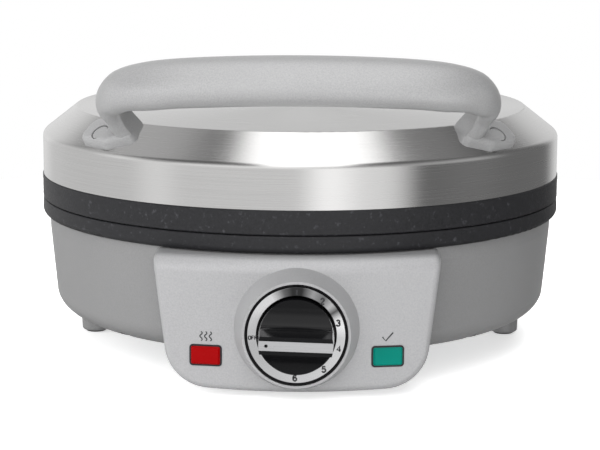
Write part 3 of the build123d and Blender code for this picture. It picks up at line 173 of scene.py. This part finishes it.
def turned_normal(tree, place):
    """Normal of a surface turned round the body's axis: smooth round it, true to the facets along it."""
    facet = add(tree, "ShaderNodeNewGeometry").outputs["True Normal"]
    own = normal_in(tree, facet, "WORLD", "OBJECT")
    centred = vector_node(tree, "SUBTRACT", place, (0.0, AXIS_Y, 0.0))
    flat = vector_node(tree, "MULTIPLY", centred, (1.0, 1.0, 0.0))
    radial = vector_node(tree, "NORMALIZE", flat)
    reach = {0: radial, "Scale": dot_node(tree, own, radial)}
    outward = add(tree, "ShaderNodeVectorMath", reach, operation="SCALE").outputs[0]
    upward = vector_node(tree, "MULTIPLY", own, (0.0, 0.0, 1.0))
    return normal_in(tree, vector_node(tree, "ADD", outward, upward), "OBJECT", "WORLD")


# Kinds of surface, whose noises count their features per metre

def brushed(name, colour, roughness, along, anisotropy=0.0, turned=False):
    """Brushed metal: fine streaks along one direction in colour, roughness and relief."""
    material, tree, shader, place = new_material(name, Metallic=1.0)
    base = round_place(tree, place) if turned else place
    streaks = noise(tree, vector_node(tree, "MULTIPLY", base, along), scale=1.0, detail=4.0, roughness=0.7)
    patches = noise(tree, place, scale=18.0, detail=2.0)
    tone = blend(tree, spread(tree, streaks, 0.0, 1.0), shade(colour, 0.93), shade(colour, 1.06))
    tone = blend(tree, spread(tree, patches, 0.0, 0.35), tone, shade(colour, 0.96))
    finish_surface(tree, shader, tone, spread(tree, streaks, roughness * 0.85, roughness * 1.2))
    normal = turned_normal(tree, place) if turned else None
    bump(tree, shader, streaks, strength=0.12, distance=0.00004, normal=normal)
    if anisotropy:
        shader.inputs["Anisotropic"].default_value = anisotropy
        shader.inputs["Anisotropic Rotation"].default_value = 0.25
        tangent = add(tree, "ShaderNodeTangent", direction_type="RADIAL", axis="Z")
        tree.links.new(tangent.outputs[0], shader.inputs["Tangent"])
    return material


def satin(name, colour, metallic, roughness, grain=1400.0, fleck=0.08, relief=0.00005):
    """Moulded or painted surface: soft variation, fine flecks and a slight grain."""
    material, tree, shader, place = new_material(name, Metallic=metallic)
    soft = noise(tree, place, scale=14.0, detail=2.0)
    fine = noise(tree, place, scale=grain, detail=2.0, roughness=0.6)
    tone = blend(tree, spread(tree, soft, 0.0, 1.0), shade(colour, 0.97), shade(colour, 1.03))
    tone = blend(tree, spread(tree, fine, 0.0, fleck * 6), tone, shade(colour, 1.0 + fleck * 4))
    finish_surface(tree, shader, tone, spread(tree, fine, roughness - 0.06, roughness + 0.06))
    bump(tree, shader, fine, strength=0.25, distance=relief)
    return material


def mottled(name, colour, roughness, specks):
    """Black moulding with a coarse grain, pale specks and a few light scuffs."""
    material, tree, shader, place = new_material(name, Metallic=0.0, Specular_IOR_Level=0.3)
    fine = noise(tree, place, scale=900.0, detail=3.0, roughness=0.7)
    speck = noise(tree, place, scale=420.0, detail=2.0)
    flattened = vector_node(tree, "MULTIPLY", place, (30.0, 30.0, 420.0))
    scuff = noise(tree, flattened, scale=1.0, detail=3.0, roughness=0.7)
    tone = blend(tree, spread(tree, fine, 0.0, 1.0), shade(colour, 0.75), shade(colour, 1.35))
    tone = blend(tree, spread(tree, speck, 0.0, specks, start=0.62, end=0.78), tone, shade(colour, 5.0))
    tone = blend(tree, spread(tree, scuff, 0.0, specks * 0.5, start=0.66, end=0.8), tone, shade(colour, 3.5))
    finish_surface(tree, shader, tone, spread(tree, fine, roughness - 0.1, roughness + 0.1))
    bump(tree, shader, fine, strength=0.3, distance=0.00012)
    return material


def paint_reflection_wedges(tree, place, tone, stops):
    """Tone darkened in wedges about the dial's axis: a painted reflection, as a spun face would mirror a
    busy room.
    """
    centred = vector_node(tree, "SUBTRACT", place, DIAL_MIDDLE)
    x, _, z = add(tree, "ShaderNodeSeparateXYZ", {0: centred}).outputs
    facing_up = add(tree, "ShaderNodeCombineXYZ", {0: z, 1: x}).outputs[0]
    around = add(tree, "ShaderNodeTexGradient", {0: facing_up}, gradient_type="RADIAL").outputs[1]
    ramp = add(tree, "ShaderNodeValToRGB", {0: around})
    band = ramp.color_ramp.elements
    for where, _ in stops[1:-1]:
        band.new(where)
    for element, (where, grey) in zip(band, stops):
        element.position = where
        element.color = (grey, grey, grey, 1.0)
    return blend(tree, 1.0, tone, ramp.outputs[0], kind="MULTIPLY")


def polished(name, colour, roughness, metallic=0.0, shine=0.5, smear=0.05, painted_wedges=None):
    """Polished surface with faint smears in its gloss, and with wedges of light and dark painted in as a
    reflection if it is given them.
    """
    material, tree, shader, place = new_material(name, Metallic=metallic, Specular_IOR_Level=shine)
    smears = noise(tree, place, scale=160.0, detail=4.0, roughness=0.7)
    wide = noise(tree, place, scale=40.0, detail=2.0)
    tone = blend(tree, spread(tree, wide, 0.0, 1.0), shade(colour, 0.92), shade(colour, 1.08))
    if painted_wedges:
        # Painted reflection: wedges of light and dark multiplied into the colour
        tone = paint_reflection_wedges(tree, place, tone, painted_wedges)
    smoothest = max(0.02, roughness - smear)
    finish_surface(tree, shader, tone, spread(tree, smears, smoothest, roughness + smear))
    bump(tree, shader, wide, strength=0.05, distance=0.00005)
    return material


def glass(name, colour):
    """Clear lamp glass with slight waviness."""
    material, tree, shader, place = new_material(name, Metallic=0.0, Transmission_Weight=0.9, IOR=1.47)
    waves = noise(tree, place, scale=300.0, detail=2.0)
    tone = blend(tree, spread(tree, waves, 0.0, 1.0), shade(colour, 0.95), colour)
    finish_surface(tree, shader, tone, spread(tree, waves, 0.04, 0.1))
    bump(tree, shader, waves, strength=0.1, distance=0.00005)
    return material


# Materials

# Wedges of painted reflection on the dial ring: share of a turn clockwise from six o'clock, and the
# brightness painted there
DIAL_PAINTED_REFLECTION = [
    (0.0, 0.80), (0.22, 0.62), (0.31, 0.80), (0.345, 1.0), (0.41, 1.0), (0.455, 0.2),
    (0.485, 0.05), (0.52, 0.05), (0.56, 0.45), (0.60, 0.2), (0.635, 0.6), (0.66, 0.12),
    (0.69, 0.9), (0.72, 1.0), (0.76, 0.72), (1.0, 0.80),
]
LID_TURNED = {"along": (14.0, 2600.0, 1.0), "anisotropy": 0.75, "turned": True}
COARSE = {"metallic": 0.0, "relief": 0.0001}
RUBBER = {"grain": 900.0, "fleck": 0.06, **COARSE}

# Finish of each material slot: kind of surface, colour, roughness, and what else the kind needs
FINISHES = {
    "lid_steel": (brushed, (0.655, 0.65, 0.645), 0.24, LID_TURNED),
    "black_moulding": (mottled, (0.012, 0.012, 0.0135), 0.5, {"specks": 0.55}),
    # The housing and the panel are one silver paint: the panel's colour is set lighter than the housing's, a
    # painted lit copy for the front face that takes the front light.
    "silver_moulding": (satin, (0.185, 0.185, 0.186), 0.46, {"metallic": 0.3}),
    "silver_panel": (satin, (0.285, 0.285, 0.29), 0.44, {"metallic": 0.3}),
    "handle_paint": (satin, (0.27, 0.27, 0.272), 0.4, {"metallic": 0.35, "grain": 1700.0, "fleck": 0.1}),
    "black_gloss": (polished, (0.003, 0.003, 0.0035), 0.14, {"shine": 0.16}),
    # Dial ring: chrome whose colour carries wedges of painted reflection
    "dial_chrome": (polished, (0.86, 0.86, 0.87), 0.16, {"metallic": 1.0, "smear": 0.03, "painted_wedges": DIAL_PAINTED_REFLECTION}),
    "brushed_strip": (brushed, (0.56, 0.56, 0.57), 0.3, {"along": (60.0, 200.0, 5200.0)}),
    "dark_bezel": (polished, (0.012, 0.01, 0.012), 0.3, {"shine": 0.3}),
    "red_lens": (polished, (0.21, 0.0005, 0.001), 0.2, {"shine": 0.06}),
    "green_lens": (polished, (0.0005, 0.135, 0.105), 0.2, {"shine": 0.06}),
    "plate_coating": (mottled, (0.035, 0.034, 0.035), 0.38, {"specks": 0.25}),
    "element_steel": (brushed, (0.20, 0.185, 0.17), 0.42, {"along": (300.0, 300.0, 300.0)}),
    "shield_steel": (brushed, (0.56, 0.56, 0.55), 0.33, {"along": (20.0, 900.0, 900.0)}),
    "zinc_steel": (brushed, (0.58, 0.58, 0.55), 0.3, {"along": (500.0, 500.0, 500.0)}),
    "pin_steel": (brushed, (0.62, 0.62, 0.61), 0.22, {"along": (60.0, 1500.0, 1500.0)}),
    "sensor_aluminium": (brushed, (0.70, 0.70, 0.71), 0.34, {"along": (900.0, 900.0, 60.0)}),
    "grey_plastic": (satin, (0.20, 0.205, 0.21), 0.52, {"grain": 1200.0, "fleck": 0.06, **COARSE}),
    "ceramic": (satin, (0.70, 0.67, 0.60), 0.6, {"grain": 800.0, "fleck": 0.05, **COARSE}),
    "foot_rubber": (satin, (0.035, 0.035, 0.035), 0.8, RUBBER),
    "inlet_rubber": (satin, (0.03, 0.03, 0.03), 0.7, RUBBER),
}
looks = {
    name: kind(name, colour, roughness=roughness, **values)
    for name, (kind, colour, roughness, values) in FINISHES.items()
}
looks["lamp_glass"] = glass("lamp_glass", (0.9, 0.9, 0.86))
print_ink = satin("printing", (0.018, 0.018, 0.02), 0.0, 0.45, grain=900.0, fleck=0.05, relief=0.00002)
for name, node in nodes.items():
    node.data.materials.clear()
    node.data.materials.append(looks[slots[name]])


# Meshes

def new_object(name, points, faces, place=Matrix.Identity(4)):
    """Object with a mesh from points and faces, placed by a matrix."""
    mesh = bpy.data.meshes.new(name)
    mesh.from_pydata([tuple(point) for point in points], [], faces)
    mesh.transform(place)
    form = bpy.data.objects.new(name, mesh)
    bpy.context.scene.collection.objects.link(form)
    return form


def circle(radius, height, steps):
    """Ring of points about the vertical axis."""
    turns = [step * math.tau / steps for step in range(steps)]
    return [(radius * math.cos(a), radius * math.sin(a), height) for a in turns]


def solid(rings, place=Matrix.Identity(4)):
    """Closed form through rings of points, with its faces turned outwards."""
    count = len(rings[0])
    last = len(rings) - 1
    points = [point for ring in rings for point in ring]
    faces = [range(count), range(last * count, (last + 1) * count)]
    for row in range(last):
        for i in range(count):
            j = (i + 1) % count
            faces.append((row * count + i, row * count + j, (row + 1) * count + j, (row + 1) * count + i))
    form = new_object("solid", points, faces, place)
    sheet = bmesh.new()
    sheet.from_mesh(form.data)
    bmesh.ops.recalc_face_normals(sheet, faces=sheet.faces)
    sheet.to_mesh(form.data)
    sheet.free()
    return form


def combine(form, other, operation):
    """Join another form to the first or cut it away, and drop the other."""
    step = form.modifiers.new("step", "BOOLEAN")
    step.operation = operation
    step.solver = "EXACT"
    step.object = other
    ready = form.evaluated_get(bpy.context.evaluated_depsgraph_get())
    mesh = bpy.data.meshes.new_from_object(ready)
    form.modifiers.clear()
    form.data = mesh
    bpy.data.objects.remove(other)


def smooth(share):
    """Share from 0 to 1 that starts and ends gently."""
    return share * share * (3 - 2 * share)


# Handle, finer than in the CAD: it turns back flat, then folds down and inwards to a narrow foot

# The lid's disc and cone, then the clearance, core, low end and steps of the form cut away for them
LID_R, DISC_Z = lid_high.x, lid_high.z
DISC_R, SHOULDER_Z = 0.1105, 0.1032
CONE_TILT = math.atan2(DISC_Z - SHOULDER_Z, LID_R - DISC_R)
LID_CLEARANCE, LID_CORE_R, LID_LOW_Z, LID_STEPS = 0.0001, 0.001, 0.08, 128

# Stops from the middle of the bar to the right foot: place, direction, width and thickness
GRIP_STOPS = [
    ((0.0, -0.1064, 0.1396), (26.0, 0.0, 0.0), 0.0255, 0.0165),
    ((0.034, -0.1057, 0.1389), (26.0, 1.1, -1.1), 0.0255, 0.0165),
    ((0.062, -0.1039, 0.1371), (20.0, 3.0, -2.6), 0.025, 0.0163),
    ((0.079, -0.098, 0.1336), (9.0, 8.0, -5.2), 0.022, 0.0155),
    ((0.0836, -0.0906, 0.1286), (0.0, 8.5, -7.0), 0.0175, 0.0136),
    ((0.081, -0.0825, 0.1205), (-3.0, 5.5, -8.5), 0.014, 0.0116),
    ((0.0768, -0.0765, 0.1128), (-4.0, 4.5, -7.5), 0.014, 0.0136),
    ((0.074, -0.0735, 0.1075), (-3.5, 4.0, -8.0), 0.016, 0.016),
]
GRIP_LEAN, GRIP_SHARP = math.radians(45), math.radians(38)
GRIP_STEPS, OVAL_STEPS = 8, 40

# Share of the thickness at which the section is cut flat on the side towards the lid
GRIP_FLAT = 0.36

# Pad under each foot: its place on the cone, and its corners down the cone and round it, with their radius
PAD_R, PAD_TURN = 0.1189, math.radians(221.8)
PAD_CORNERS = [
    (0.008, -0.0105, 0.005), (0.008, 0.009, 0.006), (0.0005, 0.023, 0.004),
    (-0.013, 0.015, 0.004), (-0.012, 0.005, 0.004), (-0.006, -0.0115, 0.006),
]
PAD_THICK, PAD_SINK, PAD_ROUND, PAD_LEAN = 0.005, 0.0015, 0.0022, 0.2
PAD_CORNER_STEPS, PAD_EDGE_STEPS = 8, 7

# Recess of the plug in each pad
PLUG_R, PLUG_TURN = 0.1205, math.radians(222.6)
RECESS_R, RECESS_TOP, RECESS_FLOOR, RECESS_STEPS = 0.0044, 0.02, 0.001, 48


def on_cone(radius, turn):
    """Frame on the lid's cone: X down it, Y round it, Z square to it."""
    height = DISC_Z - (radius - DISC_R) * math.tan(CONE_TILT)
    spot = Matrix.Rotation(turn, 4, "Z") @ Matrix.Translation((radius, 0.0, height))
    return Matrix.Translation((0.0, AXIS_Y, 0.0)) @ spot @ Matrix.Rotation(CONE_TILT, 4, "Y")


def between(near, far, t):
    """Place and direction on the smooth curve from one stop to the next, at a share of the way."""
    first, last = Vector(near[0]), Vector(far[0])
    reach = (last - first).length
    leaving, arriving = Vector(near[1]).normalized() * reach, Vector(far[1]).normalized() * reach
    spot = ((2 * t**3 - 3 * t**2 + 1) * first + (t**3 - 2 * t**2 + t) * leaving
            + (3 * t**2 - 2 * t**3) * last + (t**3 - t**2) * arriving)
    along = ((6 * t**2 - 6 * t) * first + (3 * t**2 - 4 * t + 1) * leaving
             + (6 * t - 6 * t**2) * last + (3 * t**2 - 2 * t) * arriving)
    return spot, along.normalized()


def grip_rings():
    """Oval sections along the right half of the handle, flatter on the side towards the lid."""
    across = Vector((0.0, -math.cos(GRIP_LEAN), math.sin(GRIP_LEAN)))
    rings = []
    for near, far in zip(GRIP_STOPS, GRIP_STOPS[1:]):
        for step in range(GRIP_STEPS):
            share = step / GRIP_STEPS
            spot, along = between(near, far, share)
            across = (across - along * across.dot(along)).normalized()
            level = along.cross(across)
            wide, thick = [a + (b - a) * smooth(share) for a, b in zip(near[2:], far[2:])]
            ring = []
            for cosine, sine, _ in circle(1.0, 0.0, OVAL_STEPS):
                out = max(thick / 2 * cosine, -GRIP_FLAT * thick)
                ring.append(spot + across * out + level * (wide / 2 * sine))
            rings.append(ring)
    return rings


def rounded(corners, inset):
    """Outline with rounded corners, moved inwards."""
    outline = []
    for index, (x, y, r) in enumerate(corners):
        here = Vector((x, y))
        before = (Vector(corners[index - 1][:2]) - here).normalized()
        after = (Vector(corners[(index + 1) % len(corners)][:2]) - here).normalized()
        half = before.angle(after) / 2
        middle = here + (before + after).normalized() * (r / math.sin(half))
        first = math.atan2(before.x, -before.y)
        for step in range(PAD_CORNER_STEPS + 1):
            a = first + (math.pi - 2 * half) * step / PAD_CORNER_STEPS
            outline.append((middle.x + math.cos(a) * (r - inset), middle.y + math.sin(a) * (r - inset)))
    return outline


def pad_rings():
    """Rings of the low pad under one foot of the handle, its top edge rounded."""
    levels = [(-PAD_SINK, 0.0)]
    for step in range(PAD_EDGE_STEPS + 1):
        a = step / PAD_EDGE_STEPS * math.pi / 2
        height = PAD_THICK - PAD_ROUND + PAD_ROUND * math.sin(a)
        levels.append((height, PAD_LEAN * height + PAD_ROUND * (1 - math.cos(a))))
    return [[(x, y, height) for x, y in rounded(PAD_CORNERS, inset)] for height, inset in levels]


def make_handle():
    """The whole handle: a leaning bail that narrows into its feet, with a low pad at each."""
    sides = (Matrix.Identity(4), Matrix.Scale(-1, 4, (1.0, 0.0, 0.0)))
    half = grip_rings()
    other_half = [[(-x, y, z) for x, y, z in ring] for ring in reversed(half)]
    form = solid(other_half + half[1:])
    for side in sides:
        combine(form, solid(pad_rings(), side @ on_cone(PAD_R, PAD_TURN)), "UNION")
    lid = [
        (LID_CORE_R, DISC_Z + LID_CLEARANCE), (DISC_R, DISC_Z + LID_CLEARANCE),
        (LID_R, SHOULDER_Z + LID_CLEARANCE), (LID_R, LID_LOW_Z), (LID_CORE_R, LID_LOW_Z),
    ]
    lid_rings = [circle(radius, height, LID_STEPS) for radius, height in lid]
    combine(form, solid(lid_rings, Matrix.Translation((0.0, AXIS_Y, 0.0))), "DIFFERENCE")
    recess_rings = [circle(RECESS_R, height, RECESS_STEPS) for height in (RECESS_TOP, RECESS_FLOOR)]
    for side in sides:
        combine(form, solid(recess_rings, side @ on_cone(PLUG_R, PLUG_TURN)), "DIFFERENCE")
    form.name = form.data.name = "grip_handle"
    form.data.materials.clear()
    form.data.materials.append(looks["handle_paint"])
    form.data.shade_smooth()
    form.data.set_sharp_from_angle(angle=GRIP_SHARP)
    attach(form, "lid")
    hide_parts("handle")
    form.visible_glossy = False


make_handle()


# Base housing, with its lower edge higher than in the CAD

# The edge's rise, the heights between which the wall follows it, and the radii over which it sets in
EDGE_LIFT, EDGE_FROM_Z, EDGE_TO_Z = 0.0036, 0.0086, 0.032
EDGE_INNER_R, EDGE_OUTER_R = 0.0944, 0.0952


def raise_base_edge():
    """Base housing whose lower edge is drawn up round the cover, so that the feet stand clear of it."""
    mesh = nodes["base_housing"].data.copy()
    for vertex in mesh.vertices:
        x, y, z = vertex.co
        if EDGE_FROM_Z < z < EDGE_TO_Z:
            out = (math.hypot(x, y - AXIS_Y) - EDGE_INNER_R) / (EDGE_OUTER_R - EDGE_INNER_R)
            up = (EDGE_TO_Z - z) / (EDGE_TO_Z - EDGE_FROM_Z)
            vertex.co.z = z + EDGE_LIFT * min(1.0, max(0.0, out)) * smooth(up)
    mesh.name = "base_shell"
    shell = bpy.data.objects.new("base_shell", mesh)
    bpy.context.scene.collection.objects.link(shell)
    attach(shell, "base")
    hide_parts("base_housing")


raise_base_edge()


# Printing

PRINT_LIFT = 0.00004
FACING_FRONT = Matrix.Rotation(math.radians(90), 4, "X")


def ribbon(points, width):
    """Corners and faces of a flat stroke of constant width along a line of points."""
    corners = []
    for index, point in enumerate(points):
        before = Vector(points[max(index - 1, 0)])
        after = Vector(points[min(index + 1, len(points) - 1)])
        run = (after - before).normalized()
        side = Vector((-run.y, run.x)) * width / 2
        corners += [(*(Vector(point) + side), 0.0), (*(Vector(point) - side), 0.0)]
    faces = [(2 * i, 2 * i + 1, 2 * i + 3, 2 * i + 2) for i in range(len(points) - 1)]
    return corners, faces


def strokes(name, lines, width, place):
    """Small printed sign made of several strokes."""
    points = []
    faces = []
    for line in lines:
        corners, quads = ribbon(line, width)
        faces += [tuple(index + len(points) for index in quad) for quad in quads]
        points += corners
    piece = new_object(name, points, faces, place)
    piece.data.materials.append(print_ink)
    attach(piece, "base")


# Strokes of each figure and letter on a grid six units tall
GLYPHS = {
    "1": [[(-0.5, 2.2), (0.3, 3.0), (0.3, -3.0)]],
    "2": [[(-1.6, 1.4), (-1.3, 2.5), (-0.3, 3.0), (0.8, 2.8), (1.6, 1.8), (1.2, 0.5),
           (-1.7, -2.9), (1.8, -2.9)]],
    "3": [[(-1.6, 1.9), (-0.9, 2.8), (0.2, 3.0), (1.3, 2.5), (1.4, 1.2), (0.6, 0.3), (-0.4, 0.2)],
          [(0.6, 0.2), (1.6, -0.6), (1.6, -1.9), (0.8, -2.8), (-0.4, -3.0), (-1.4, -2.5), (-1.8, -1.6)]],
    "4": [[(0.9, -3.0), (0.9, 3.0), (-1.9, -1.2), (2.0, -1.2)]],
    "5": [[(1.6, 2.9), (-1.2, 2.9), (-1.6, 0.1), (-0.3, 0.8), (1.0, 0.5), (1.8, -0.7), (1.5, -2.1),
           (0.4, -3.0), (-0.9, -2.9), (-1.8, -1.8)]],
    "6": [[(1.5, 2.0), (0.7, 2.9), (-0.4, 2.9), (-1.4, 1.9), (-1.8, 0.0), (-1.5, -1.9), (-0.5, -2.9),
           (0.6, -2.9), (1.6, -2.0), (1.7, -0.7), (0.9, 0.4), (-0.3, 0.6), (-1.4, -0.2)]],
    "O": [[(0.0, 3.0), (-1.3, 2.5), (-1.9, 1.0), (-1.9, -1.0), (-1.3, -2.5), (0.0, -3.0),
           (1.3, -2.5), (1.9, -1.0), (1.9, 1.0), (1.3, 2.5), (0.0, 3.0)]],
    "F": [[(1.7, 2.9), (-1.4, 2.9), (-1.4, -3.0)], [(-1.4, 0.2), (1.3, 0.2)]],
}
GLYPH_PITCH, GLYPH_STROKE = 4.9, 1.9
FIGURE, LETTER = 0.00042, 0.00027

# Marks of the dial: name, text, size of a grid unit, and place across and up from the dial's middle
MARKS = [
    ("mark_off", "OFF", LETTER, -0.01895, -0.0011),
    ("mark_1", "1", FIGURE, 0.0, 0.0190),
    ("mark_2", "2", FIGURE, 0.0113, 0.0152),
    ("mark_3", "3", FIGURE, 0.0181, 0.0056),
    ("mark_4", "4", FIGURE, 0.0184, -0.0058),
    ("mark_5", "5", FIGURE, 0.0120, -0.0150),
    ("mark_6", "6", FIGURE, -0.0006, -0.0190),
]


def dial_mark(name, text, unit, x, z):
    """Figure or word printed on the dial ring."""
    lines = []
    for index, letter in enumerate(text):
        shift = GLYPH_PITCH * (index - (len(text) - 1) / 2)
        lines += [[((px + shift) * unit, py * unit) for px, py in line] for line in GLYPHS[letter]]
    spot = Matrix.Translation((DIAL_MIDDLE.x + x, ring_low.y - PRINT_LIFT, DIAL_MIDDLE.z + z))
    strokes(name, lines, GLYPH_STROKE * unit, spot @ FACING_FRONT)


for mark in MARKS:
    dial_mark(*mark)

SIGN_RISE = 0.0086
WAVE_SWING, WAVE_TALL, WAVE_PITCH, WAVE_STROKE = 0.00055, 0.0042, 0.0021, 0.00055
WAVE_TURNS, WAVE_STEPS = 1.5, 12
TICK, TICK_STROKE = [(-0.0024, 0.0002), (-0.0009, -0.0016), (0.0024, 0.0021)], 0.00062


def panel_spot(node):
    """Place on the curved panel above a lens, facing straight out of it."""
    low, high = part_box(node)
    ahead = Vector(((low.x + high.x) / 2, 2 * low.y - high.y, (low.z + high.z) / 2 + SIGN_RISE))
    point, normal = nodes["control_housing"].ray_cast(ahead, Vector((0.0, 1.0, 0.0)))[1:3]
    turn = Matrix.Rotation(math.atan2(normal.x, -normal.y), 4, "Z")
    return Matrix.Translation(point + normal * PRINT_LIFT) @ turn @ FACING_FRONT


def heat_waves():
    """Three wavy lines that rise side by side."""
    shares = [step / WAVE_STEPS for step in range(WAVE_STEPS + 1)]
    wave = [(WAVE_SWING * math.sin(WAVE_TURNS * math.tau * s), WAVE_TALL * (s - 0.5)) for s in shares]
    return [[(x + shift, y) for x, y in wave] for shift in (-WAVE_PITCH, 0.0, WAVE_PITCH)]


strokes("heating_sign", heat_waves(), WAVE_STROKE, panel_spot("heating_bezel"))
strokes("ready_sign", [TICK], TICK_STROKE, panel_spot("ready_bezel"))


# Floor

FLOOR_R, FLOOR_STEPS, FLOOR_GLOW = 0.55, 96, 0.5


def floor_material():
    """Plain pale floor with barely visible variation."""
    material, tree, shader, place = new_material("pale_floor", Metallic=0.0)
    soft = noise(tree, place, scale=1.2, detail=2.0)
    tone = blend(tree, spread(tree, soft, 0.0, 1.0), (0.90, 0.90, 0.90), (0.93, 0.93, 0.93))
    finish_surface(tree, shader, tone, spread(tree, soft, 0.7, 0.8))
    shader.inputs["Emission Color"].default_value = (1.0, 1.0, 1.0, 1.0)
    shader.inputs["Emission Strength"].default_value = FLOOR_GLOW
    return material


floor = new_object("floor", circle(FLOOR_R, 0.0, FLOOR_STEPS), [range(FLOOR_STEPS)])
floor.data.materials.append(floor_material())
floor.visible_glossy = False


# Lights

AIM = Vector((0.0, 0.0, 0.08))

# Name, place, width and height, and power in watts
SOFTBOXES = [
    ("top_box", (0.0, 0.0, 2.2), (3.0, 3.0), 36.0),
    ("front_box", (-0.4, -2.2, 1.0), (2.2, 1.6), 41.0),
    ("left_box", (-2.2, -0.3, 1.0), (2.0, 1.6), 20.0),
    ("right_box", (2.2, -0.3, 1.0), (2.0, 1.6), 1.0),
    ("back_box", (0.0, 2.2, 1.0), (2.0, 1.6), 20.0),
]


def softbox(name, spot, size, power):
    """Wide studio light aimed at the object and kept out of its reflections."""
    data = bpy.data.lights.new(name, "AREA")
    data.shape = "RECTANGLE"
    data.size, data.size_y = size
    data.energy = power
    lamp = bpy.data.objects.new(name, data)
    lamp.location = spot
    lamp.rotation_euler = (AIM - Vector(spot)).to_track_quat("-Z", "Y").to_euler()
    lamp.visible_glossy = False
    bpy.context.scene.collection.objects.link(lamp)


for values in SOFTBOXES:
    softbox(*values)


# Surroundings that the metal mirrors

# Evenly lit sky, strip overhead and halo, with the parts of a direction between which they fade
SKY_BASE = 0.12
STRIP_LIGHT, STRIP_MIDDLE_X, STRIP_FADE_X = 1.9, 0.04, (0.21, 0.33)
STRIP_FADE_Y, STRIP_FADE_Z = (0.15, 0.55), (0.35, 0.75)
HALO_LIGHT, HALO_FADE_Y, HALO_LOW_Z, HALO_HIGH_Z = 0.38, (-0.05, 0.25), (-0.02, 0.12), (0.45, 0.7)

# Round patches: azimuth from the front to the right and elevation, where they start and end to fade,
# all in degrees, and their brightness
PATCHES = [
    ((180, 10), 24, 46, 0.63),
    ((-150, 10), 12, 30, 0.10),
    ((-105, -8), 25, 55, 0.60),
    ((-25, -10), 30, 55, 0.65),
    ((27, -10), 9, 29, 0.95),
    ((110, -10), 20, 60, 0.06),
    ((-128, 50), 8, 22, 0.45),
    ((123, 60), 4, 18, 0.16),
]


def sky_strip(tree, x, y, z):
    """Long light overhead that starts in front and ends a little behind the top."""
    across = math_node(tree, "ABSOLUTE", math_node(tree, "SUBTRACT", x, STRIP_MIDDLE_X))
    narrow = spread(tree, across, STRIP_LIGHT, 0.0, *STRIP_FADE_X, kind="SMOOTHSTEP")
    above = spread(tree, z, 0.0, 1.0, *STRIP_FADE_Z, kind="SMOOTHSTEP")
    ahead = spread(tree, y, 1.0, 0.0, *STRIP_FADE_Y, kind="SMOOTHSTEP")
    return math_node(tree, "MULTIPLY", math_node(tree, "MULTIPLY", narrow, above), ahead)


def sky_halo(tree, y, z):
    """Even light low in front and at the sides, which the lid mirrors when it is seen from behind."""
    low = spread(tree, z, 0.0, HALO_LIGHT, *HALO_LOW_Z)
    high = spread(tree, z, 1.0, 0.0, *HALO_HIGH_Z)
    near = spread(tree, y, 1.0, 0.0, *HALO_FADE_Y)
    return math_node(tree, "MULTIPLY", math_node(tree, "MULTIPLY", low, high), near)


def sky_patch(tree, away, centre, inner, outer, light):
    """Smooth round patch of light about a direction."""
    azimuth, elevation = (math.radians(angle) for angle in centre)
    flat = math.cos(elevation)
    towards = (flat * math.sin(azimuth), -flat * math.cos(azimuth), math.sin(elevation))
    fade = (math.cos(math.radians(outer)), math.cos(math.radians(inner)))
    return spread(tree, dot_node(tree, away, towards), 0.0, light, *fade, kind="SMOOTHSTEP")


def studio_sky():
    """World that lights the object and is mirrored in it, and is plain white where the camera sees it."""
    world = bpy.data.worlds.new("studio")
    bpy.context.scene.world = world
    world.use_nodes = True
    tree = world.node_tree
    away = add(tree, "ShaderNodeTexCoord").outputs["Generated"]
    x, y, z = add(tree, "ShaderNodeSeparateXYZ", {0: away}).outputs
    total = math_node(tree, "ADD", sky_strip(tree, x, y, z), SKY_BASE)
    total = math_node(tree, "ADD", sky_halo(tree, y, z), total)
    for patch in PATCHES:
        total = math_node(tree, "ADD", sky_patch(tree, away, *patch), total)
    seen = add(tree, "ShaderNodeLightPath").outputs["Is Camera Ray"]
    lit = add(tree, "ShaderNodeMix", {0: seen, NUMBER_A: total, NUMBER_B: 1.0})
    background = tree.nodes["Background"]
    background.inputs["Color"].default_value = (1.0, 1.0, 1.0, 1.0)
    tree.links.new(lit.outputs[NUMBER_OUT], background.inputs["Strength"])


studio_sky()


# Camera at the photograph's viewing angle

SENSOR_MM, LENS_MM, NEAREST = 36.0, 123.25, 0.05
EYE_AWAY, EYE_Z = 1.0143, 0.235
YAW, DIP, ROLL = math.radians(0.55), math.radians(10.093), math.radians(0.214)

camera_data = bpy.data.cameras.new("camera")
camera_data.sensor_width = SENSOR_MM
camera_data.lens = LENS_MM
camera_data.clip_start = NEAREST
camera = bpy.data.objects.new("camera", camera_data)
eye = Matrix.Translation((EYE_AWAY * math.sin(YAW), AXIS_Y - EYE_AWAY * math.cos(YAW), EYE_Z))
pitch = math.radians(90) - DIP
turn = Matrix.Rotation(YAW, 4, "Z") @ Matrix.Rotation(pitch, 4, "X") @ Matrix.Rotation(ROLL, 4, "Z")
camera.matrix_world = eye @ turn
bpy.context.scene.collection.objects.link(camera)
bpy.context.scene.camera = camera
bpy.context.scene.view_settings.view_transform = "Standard"
